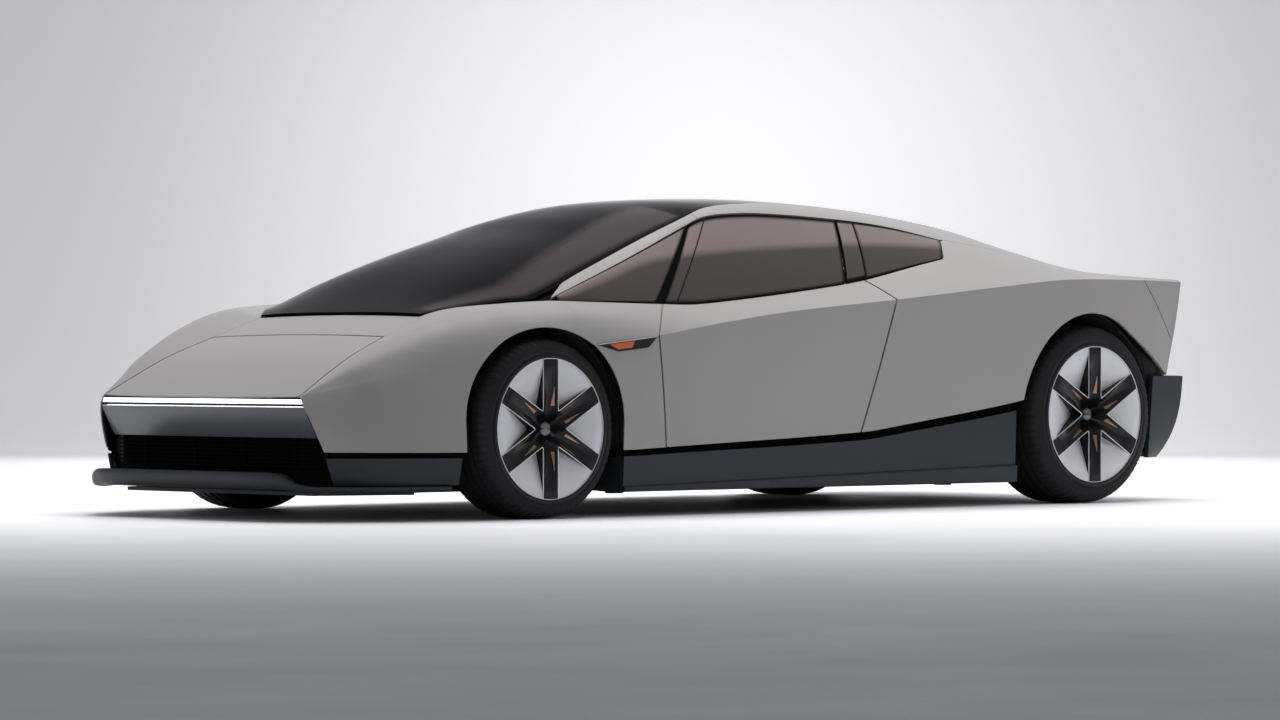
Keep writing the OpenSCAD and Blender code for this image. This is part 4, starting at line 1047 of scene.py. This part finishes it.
piece("rear_bumper_shell", plate(bumper_grid(), 0.020), DARK, "rear_bumper", bevel=0.002)
shelf_v = row(-0.985, 0.985, 61)
shelf_back = BUMPER_S - bowed(BUMPER_BOW, shelf_v) + 22
shelf = place(mix(shelf_back, -3470 - bowed(20, shelf_v), column(0, 1, 8)), shelf_v * 890, 512.0)
piece("bumper_shelf", plate(shelf, 0.012), BLACK)
diffuser = [block([AXLE_X - 3.56, y - 0.005, 0.165], [AXLE_X - 3.36, y + 0.005, 0.300])
            for y in (-0.45, -0.27, -0.09, 0.09, 0.27, 0.45)]
piece("diffuser_fins", join(diffuser), BLACK, bevel=0.002)


# Side markers and thin seams

def marker(top, low, z0, z1, lift, thick):
    """A patch under the crease behind the front arch, from one pair of stations at its top to another
    below."""
    f, g = column(0, 1, 32), row(0, 1, 6)
    s = mix(mix(*low, f), mix(*top, f), g)
    grid = place(s, curve(CREASE_Y, s), curve(CREASE_Z, s) + mix(z0, z1, g))
    return plate(grid + lift * OUT, thick)


for patch, look, edge, shape in (
        ("bezel", BLACK, 0, ((-222, -528), (-332, -482), -38, -1, 0.0043, 0.004)),
        ("lens", AMBER_LAMP, 0.001, ((-285, -411), (-328, -398), -30, -7, 0.0055, 0.003)),
        ("line", SILVER, 0, ((-226, -524), (-229, -521), -3.5, -0.5, 0.0052, 0.003))):
    two_sides(f"marker_{patch}", marker(*shape), look, "side_markers", bevel=edge)


def seam_strip(s, k, width):
    """A hairline seam on the side: a thin dark strip square to the path of stations and heights."""
    line = side(s, k)
    normal = outward(side(s[:, None] + np.array([-2.0, 0, 2.0]), k[:, None]))[:, 1]
    normal = np.where(normal[:, 1:2] < 0, -normal, normal)
    across = np.cross(heading(line), normal)
    grid = line[:, None] + width * across[:, None] * np.array([-0.5, 0.5])[None, :, None]
    grid = grid + 0.0003 * normal[:, None]
    return shell(grid, grid - 0.002 * normal[:, None])


t = np.linspace(0, 1, 30)
two_sides("tail_seam", seam_strip(mix(-3300, -3503, t), mix(1.0, 0.39, t), 0.0028), SEAL)


# Seal over the side windows, set behind the glass
seal_top = header(np.linspace(-1040, -2361, 80)) - MM * 9 * np.array([0, 0.75, 0.66])
seal_grid = seal_top[:, None] - MM * row(-2, 26, 4)[..., None] * PANE_DOWN
two_sides("window_seal", plate(seal_grid, 0.004), SEAL)


# Wheels

def wheel_point(axle, hand, radius, angle, out):
    """Points of a wheel from a radius, an angle and a distance out from the car's middle, on either side."""
    x = axle[0] + radius * np.cos(angle)
    z = axle[2] + radius * np.sin(angle)
    x, y, z = np.broadcast_arrays(x, hand * out, z)
    return np.stack([x, y, z], -1)


def lathe(axle, hand, face, profile, count=144):
    """A profile of (radius, distance out from the rim face) turned round the axle. It is closed, or it starts
    and ends on the axle."""
    profile = np.asarray(profile, float)
    ring = profile[0, 0] > 0
    grid = wheel_point(axle, hand, profile[None, :, 0], circle(count)[:, None], face + profile[None, :, 1])
    return grid.reshape(-1, 3), quads(count, len(profile), True, ring).tolist()


GROOVES = (-0.46, -0.16, 0.16, 0.46)
GROOVE_DEEP = 0.007
SLOT_DEEP = 0.004
TREAD_STEPS = 288


def tyre_part(axle, hand, face, radius, width, rim_r):
    """Tyre: a squarish power curve from bead to bead, with four grooves round it and slots across its
    shoulders."""
    edges = [c + d for c in GROOVES for d in (-0.036, -0.03, 0.03, 0.036)]
    t = np.unique(np.concatenate([np.sin(np.linspace(-pi / 2, pi / 2, 61)), edges]))
    bead = rim_r - 0.006
    rise = (1 - np.abs(t) ** 7) ** (1 / 2.4)
    groove = np.max([held((0.037 - np.abs(t - c)) / 0.006) for c in GROOVES], axis=0)
    slot = (np.arange(TREAD_STEPS) % 4 == 0)[:, None] * held((np.abs(t) - 0.55) / 0.05)[None]
    slot = slot * held((0.97 - np.abs(t)) / 0.03)[None]
    cut_in = np.maximum(GROOVE_DEEP * groove[None], SLOT_DEEP * slot)
    r = bead + (radius - bead) * rise[None] - cut_in * (rise[None] > 0.5)
    guard = 0.004 * hump(r - bead - 0.016, 0.006)
    out = face - width / 2 + (width / 2 - 0.004) * t[None] + np.sign(t)[None] * guard
    grid = wheel_point(axle, hand, r, circle(TREAD_STEPS)[:, None], out)
    return grid.reshape(-1, 3), quads(TREAD_STEPS, len(t), True, True).tolist()


LIP = 0.0062
RIM_BAND = 0.020
DISH = {"front": 0.044, "rear": 0.060}
HUB_SHARE = 0.8
SPOKES = 6
SPOKE_HALF = 0.0365
HALF_ANGLE = pi / SPOKES


def panel_depth(radius, inner, dish):
    """Depth of the dished panels: none on a flat outer band, then straight down to the hub."""
    flat = 0.9 * inner
    return 0.003 + dish * held((flat - radius) / (flat - 0.08))


def trough_top(x, across, inner, dish):
    """Top of a spoke: flush at its edges, with a trough between them that sinks towards the hub."""
    trough = HUB_SHARE * dish * held((inner - 0.03 - x) / (inner - 0.08)) ** 1.3
    return -0.002 - trough * (1 - np.abs(across) ** 1.8)


def turned(axle, hand, face, x, y, out, angle):
    """Points set out across a wheel, with x along a direction at an angle and y square to it."""
    radius, bearing = np.hypot(x, y), np.arctan2(y, x)
    return wheel_point(axle, hand, radius, bearing + angle, face + out)


def slab(base, x, y, top, low, angle):
    """Closed plate across a wheel between two distances out."""
    return shell(turned(*base, x, y, top, angle), turned(*base, x, y, low, angle))


def spoke_part(base, inner, dish, angle):
    """One spoke with its trough, standing on the panels."""
    x, t = column(0.03, inner + 0.004, 36), row(-1, 1, 19)
    half = np.minimum(SPOKE_HALF, x * np.tan(HALF_ANGLE))
    top = trough_top(x, t, inner, dish)
    low = -panel_depth(x, inner, dish) - 0.012 - HUB_SHARE * dish * held((0.09 - x) / 0.06) * 0.2
    return slab(base, x, half * t, top, np.minimum(low, top - 0.004), angle)


def vee(inner, round_off=0.004, count=61):
    """Rounded V between two spokes: one branch of a hyperbola whose straight ends run along the spokes."""
    apex = SPOKE_HALF / np.sin(HALF_ANGLE)
    slope = 1 / np.tan(HALF_ANGLE)
    a, b, c = 1 + slope ** 2, 2 * apex * slope, apex ** 2 - inner ** 2
    reach = (-b + np.sqrt(b * b - 4 * a * c)) / (2 * a)
    q = np.linspace(-reach, reach, count)
    return apex + np.sqrt((q * slope) ** 2 + round_off ** 2), q


def panel_part(base, inner, dish, angle):
    """One dished panel between two spokes, from the V to the rim."""
    x, y = vee(inner)
    edge = np.arctan2(y[-1], x[-1]) * np.linspace(-1, 1, len(x))
    f = row(0, 1, 16)
    px = mix(x[:, None], (inner * np.cos(edge))[:, None], f)
    py = mix(y[:, None], (inner * np.sin(edge))[:, None], f)
    depth = -panel_depth(np.hypot(px, py), inner, dish)
    return slab(base, px, py, depth, depth - 0.006, angle)


def vee_line(base, inner, angle):
    """Bright line round the V, a fine round bead."""
    x, y = vee(inner)
    path = turned(*base, x, y, -0.0015 + 0 * x, angle)
    return tube(bar_along(path, round_section(0.0017, 8), (0, 1, 0)))


def accent_part(base, inner, dish, angle):
    """Copper slivers on the walls of a spoke's trough, two long thin wedges near the hub."""
    parts = []
    first, length = 0.085, 0.07
    x, t = column(first, first + length, 12), row(-1, 1, 3)
    wide = 0.0045 * (1 - (x - first) / length) + 0.0006
    for edge in (-1, 1):
        y = edge * (0.022 + 0.03 * (x - first)) + wide * t
        top = trough_top(x, y / SPOKE_HALF, inner, dish) + 0.0012
        parts.append(slab(base, x, y, top, top - 0.003, angle))
    return join(parts)


def wheel(end, hand, axle, radius):
    """All the pieces of one wheel."""
    name = f"{end}_{hand}"
    tyre_node, rim_node = f"{name}_tyre", f"{name}_rim"
    width = 2 * half_size(tyre_node)[1]
    face = abs(middle(tyre_node)[1]) + width / 2
    rim_r = half_size(rim_node)[2] + LIP
    inner = rim_r - RIM_BAND
    dish = DISH[end]
    hub_face = -HUB_SHARE * dish
    base = (axle, 1 if hand == "left" else -1, face)
    angles = [pi / 2 + i * 2 * pi / SPOKES for i in range(SPOKES)]
    between = [a + HALF_ANGLE for a in angles]
    ring = [(inner - 0.010, -0.012), (inner, -0.002), (inner + 0.003, -0.0012), (rim_r - 0.006, 0.0),
            (rim_r - 0.001, -0.002), (rim_r, -0.006), (rim_r - 0.006, -0.016), (rim_r - 0.010, -0.05),
            (rim_r - 0.028, -0.10), (rim_r - 0.028, -width + 0.02), (rim_r - 0.006, -width + 0.012),
            (rim_r - 0.036, -width + 0.012), (rim_r - 0.036, -0.05)]
    hub = [(r, hub_face + z) for r, z in ((0.0, 0.001), (0.030, 0.001), (0.060, -0.001), (0.085, -0.016),
                                          (0.085, -0.030), (0.0, -0.030))]
    cap = [(r, hub_face + z) for r, z in ((0.0, 0.007), (0.021, 0.0062), (0.0245, 0.0045), (0.026, 0.001),
                                          (0.026, -0.006), (0.0, -0.006))]
    bead = round_section(0.0015, 8) + (inner + 0.0005, -0.0012)
    spokes = [spoke_part(base, inner, dish, a) for a in angles] + [lathe(*base, ring), lathe(*base, hub, 64)]
    panels = [panel_part(base, inner, dish, a) for a in between]
    lines = [vee_line(base, inner, a) for a in between] + [lathe(*base, bead, 192)]
    accents = [accent_part(base, inner, dish, a) for a in angles]
    tread = [tyre_part(*base, radius, width, rim_r)]
    for part, meshes, look, node, sharp in (
            ("tread", tread, RUBBER, tyre_node, 35), ("spokes", spokes, GLOSS, rim_node, 30),
            ("panels", panels, PANEL, rim_node, 30), ("bright_lines", lines, SILVER, rim_node, 60),
            ("accents", accents, COPPER, rim_node, 26), ("cap", [lathe(*base, cap, 64)], CAP, rim_node, 26)):
        piece(f"{name}_{part}", join(meshes), look, node, f"{name}_wheel", sharp=sharp)


for hand_name in ("left", "right"):
    wheel("front", hand_name, FRONT_AXLE, FRONT_R)
    wheel("rear", hand_name, REAR_AXLE, REAR_R)


# Cabin

def pad(path, widths, depths, bolster, channels, up, count=48):
    """Upholstered pad: a rounded section carried along a path and pulled in at both ends, with raised side
    bolsters and sewn channels pressed across its top face."""
    path = np.asarray(path, float)
    at = np.linspace(0, 1, 90)

    def drawn(values):
        """Values set out evenly along the pad."""
        return np.interp(at, np.linspace(0, 1, len(values)), values)

    line = np.stack([drawn(values) for values in path.T], -1)
    for _ in range(12):
        line[1:-1] = (line[:-2] + 2 * line[1:-1] + line[2:]) / 4
    pull = held(1 - np.abs(2 * at - 1) ** 9) ** (1 / 3)
    across = np.array([0.0, 1.0, 0.0])
    rise = np.cross(heading(line), across)
    rise *= np.sign(rise @ np.asarray(up, float))[:, None]
    a = circle(count)
    x, z = rounded(np.cos(a), 0.45), rounded(np.sin(a), 0.45)
    lift = bolster * held((np.abs(x) - 0.5) / 0.35)[None] ** 1.5 * np.sin(pi * at)[:, None] ** 0.5
    sewn = np.zeros((len(at), count))
    for c in channels:
        sewn = sewn + hump(at[:, None] - c, 0.009) * held(1 - (np.abs(x)[None] / 0.6) ** 8)
    for c in (-0.55, 0.55):
        sewn = sewn + hump(x[None] - c, 0.05) * held(4 * np.minimum(at, 1 - at))[:, None]
    top = held(z)[None] * (lift - 0.007 * np.minimum(sewn, 1)) * pull[:, None]
    height = (drawn(depths) * pull)[:, None] * z[None] + top
    breadth = (drawn(widths) * pull)[:, None] * x[None]
    return tube(line[:, None] + breadth[..., None] * across + height[..., None] * rise[:, None])


SEAT_Y = 0.380
# Seat pads: line of stations and heights, widths, depths, bolster, channels and facing
CUSHION = ([(-1128, 330), (-1250, 352), (-1420, 336), (-1580, 316)], (0.235, 0.245, 0.24),
           (0.042, 0.046, 0.046), 0.030, np.arange(0.2, 0.9, 0.12), (0, 0, 1))
BACK = ([(-1590, 322), (-1655, 470), (-1740, 700), (-1815, 880), (-1856, 975)],
        (0.235, 0.25, 0.235, 0.16, 0.13), (0.045, 0.05, 0.045, 0.04, 0.036), 0.034,
        np.arange(0.16, 0.7, 0.075), (1, 0, 0))


def seat(name, y):
    """One seat: a cushion and a back with a narrow head, both upholstered."""
    for part, (line, *shape) in (("cushion", CUSHION), ("back", BACK)):
        path = [(AXLE_X + MM * s, y, MM * z) for s, z in line]
        obj = piece(f"{name}_{part}", pad(path, *shape), SEAT_LEATHER, "seats", sharp=60)
    base = block([AXLE_X - 1.64, y - 0.20, 0.234], [AXLE_X - 1.15, y + 0.20, 0.285])
    piece(f"{name}_base", base, SOFT_BLACK, "seats", bevel=0.012)


seat("left_seat", SEAT_Y)
seat("right_seat", -SEAT_Y)

DASH = [(-471, 565), (-471, 690), (-520, 722), (-600, 748), (-700, 762), (-780, 764), (-832, 752),
        (-846, 726), (-838, 700), (-800, 668), (-740, 620), (-690, 560), (-560, 548)]


def dash_part():
    """Dashboard: a soft brow profile carried across the cabin, fuller in front of driver and passenger."""
    y = column(-738, 738, 90)
    s, z = np.array(DASH, float).T[:, None]
    return tube(place(mix(-640, s, 1 - 0.25 * hump(y, 120)), y, z))


piece("dash_pad", dash_part(), SOFT_BLACK, "dashboard", sharp=50)
screen_up = row(-90, 90, 12)
screen_grid = place(-848 - 0.22 * screen_up, column(-170, 170, 24), 770 + screen_up)
piece("centre_screen", plate(screen_grid, 0.012), SCREEN, bevel=0.003)
console = block([AXLE_X - 1.70, -0.105, 0.234], [AXLE_X - 0.80, 0.105, 0.470])
piece("centre_console", console, SOFT_BLACK, bevel=0.03)

WHEEL_AT = np.array([AXLE_X - 0.930, SEAT_Y, 0.690])
WHEEL_LEAN = radians(68)
COLUMN = np.array([-np.sin(WHEEL_LEAN), 0, np.cos(WHEEL_LEAN)])
WHEEL_UP = np.array([np.cos(WHEEL_LEAN), 0, np.sin(WHEEL_LEAN)])
HUB_LEVELS = np.array([(0.0, 0.016), (0.040, 0.014), (0.050, 0.006), (0.050, -0.012), (0.022, -0.02),
                       (0.022, -0.150), (0.0, -0.150)])


def steering_part():
    """Steering wheel: a round-cornered ring square to the column, with hub, spokes and column."""
    a = circle(96)
    x, y = 0.165 * rounded(np.cos(a), 0.8), 0.150 * rounded(np.sin(a), 0.8)
    across = np.array([0, 1.0, 0])
    centre = x[:, None] * across + y[:, None] * WHEEL_UP
    ring = round_section(0.0145, 14)
    round_it = ring[None, :, :1] * units(centre)[:, None] + ring[None, :, 1:] * COLUMN
    parts = [tube(WHEEL_AT + centre[:, None] + round_it, closed=True)]
    width = column(0.024, 0.016, 12)
    corner = np.array([(-1, -0.006), (1, -0.006), (1, 0.006), (-1, 0.006)])
    for direction, reach in ((across, 0.160), (-across, 0.160), (-WHEEL_UP, 0.146)):
        path = WHEEL_AT + column(0.03, reach, 12) * direction
        other = np.cross(direction, COLUMN)
        grid = path[:, None] + (width * corner[None, :, 0])[..., None] * other + corner[None, :, 1:] * COLUMN
        parts.append(tube(grid))
    a = circle(40)[:, None, None]
    spin = np.cos(a) * across + np.sin(a) * WHEEL_UP
    grid = WHEEL_AT + HUB_LEVELS[None, :, :1] * spin + HUB_LEVELS[None, :, 1:] * COLUMN
    parts.append((grid.reshape(-1, 3), quads(40, len(HUB_LEVELS), True).tolist()))
    return join(parts)


piece("steering_ring", steering_part(), CARD_LEATHER, "steering_wheel", sharp=45)


# Stage: pale floor that sweeps up into a backdrop, soft boxes and camera
CAMERA_AT = (13.7616, 14.9430, 0.6174)
CAMERA_YAW = 47.36
CAMERA_PITCH = 0.095
FOCAL_PX = 5080
IMAGE_W = 1280
SENSOR = 36.0


def stage_finish(name):
    """Matt studio surface with painted light: a floor darkened towards the camera by painted shade, and a
    wall with a painted white glow behind the car, given off as emission, set out on axes turned to the
    camera."""
    mat, tree, shader, coords = new_material(name)
    turn = {"Vector": coords, "Rotation": (0, 0, -radians(CAMERA_YAW))}
    turned_to = add_node(tree, "Mapping", turn, "Vector")
    ahead = add_node(tree, "SeparateXYZ", {"Vector": turned_to}, "X")
    flat = add_node(tree, "VectorMath", {0: turned_to, 1: (0, 1, 1)}, "Vector", operation="MULTIPLY")
    away = add_node(tree, "VectorMath", {0: flat, 1: (0, 0.6, 1.9)}, "Value", operation="DISTANCE")
    # Painted shade: near is 1 close to the camera, where the floor colour turns dark
    near = spread(tree, ahead, 0, 1, -1.0, 10.0, "SMOOTHSTEP")
    # Painted light: a white glow emitted by the wall, brightest behind the car and fading outwards
    glow = spread(tree, away, 0.62, 0.17, 0, 5.5, "SMOOTHSTEP")
    wall = spread(tree, ahead, 0, 1, -4.0, -13.0, "SMOOTHSTEP")
    feed(tree, shader, {
        "Base Color": blend(tree, near, (0.76, 0.76, 0.785, 1), (0.25, 0.26, 0.30, 1)),
        "Emission Color": (0.985, 0.985, 1.0, 1),
        "Emission Strength": add_node(tree, "Math", {0: glow, 1: wall}, "Value", operation="MULTIPLY"),
        "Roughness": spread(tree, noise(tree, coords, 1.2, 5.0), 0.42, 0.56),
        "Specular IOR Level": 0.25})
    return mat


def sweep():
    """Floor and backdrop: a flat run away from the camera, then a quarter circle up into a wall."""
    away = -np.array([np.cos(radians(CAMERA_YAW)), np.sin(radians(CAMERA_YAW)), 0])
    across = np.array([-away[1], away[0], 0])
    turn = np.linspace(0, pi / 2, 24)
    run = np.concatenate([[-40.0, -10.0], 12 + 8 * np.sin(turn), [20.0]])[:, None, None]
    rise = np.concatenate([[0.0, 0.0], 8 - 8 * np.cos(turn), [30.0]])[:, None, None]
    wide = row(-60, 60, 3)[..., None]
    grid = run * away + rise * np.array([0, 0, 1]) + wide * across
    return grid.reshape(-1, 3), quads(len(run), 3).tolist()


def add_stage():
    """Floor and backdrop in one sheet."""
    obj = mesh_object("studio_sweep", sweep())
    dress(obj.data, stage_finish("studio_pale_painted_light"))


def soft_box(name, at, target, size, power):
    """A rectangular soft light aimed at a point, unseen in reflections."""
    data = bpy.data.lights.new(name, "AREA")
    data.shape = "RECTANGLE"
    data.size, data.size_y = size
    data.energy = power
    obj = linked(name, data)
    aim = np.asarray(target, float) - np.asarray(at, float)
    obj.location = at
    obj.visible_glossy = False
    obj.rotation_euler = (np.arctan2(np.hypot(aim[0], aim[1]), -aim[2]), 0, np.arctan2(-aim[0], aim[1]))


def add_light():
    """Overhead soft box, a broad one behind the car, a front fill, a side fill and an even world."""
    soft_box("overhead", (-0.8, -0.6, 6.5), (0, 0, 0), (7, 5), 850)
    soft_box("back_glow", (-6.0, -6.5, 3.5), (0, 0, 0.8), (6, 3), 300)
    soft_box("front_fill", (10.0, -2.0, 2.4), (1.0, 0, 0.4), (4, 2.5), 45)
    soft_box("side_fill", (-7.0, 8.5, 3.2), (-0.9, 0, 0.6), (8, 2.5), 240)
    world = bpy.data.worlds.new("studio")
    world.use_nodes = True
    back = world.node_tree.nodes["Background"]
    back.inputs["Color"].default_value = (0.86, 0.86, 0.88, 1)
    back.inputs["Strength"].default_value = 0.45
    bpy.context.scene.world = world


def add_camera():
    """Camera at the viewing angle, with its lens from the focal length in image pixels."""
    data = bpy.data.cameras.new("camera")
    data.sensor_width = SENSOR
    data.lens = SENSOR * FOCAL_PX / IMAGE_W
    data.clip_end = 200
    obj = linked("camera", data)
    obj.location = CAMERA_AT
    obj.rotation_euler = (radians(90 - CAMERA_PITCH), 0, radians(90 + CAMERA_YAW))
    bpy.context.scene.camera = obj


add_stage()
add_light()
add_camera()
bpy.context.scene.view_settings.view_transform = "Standard"
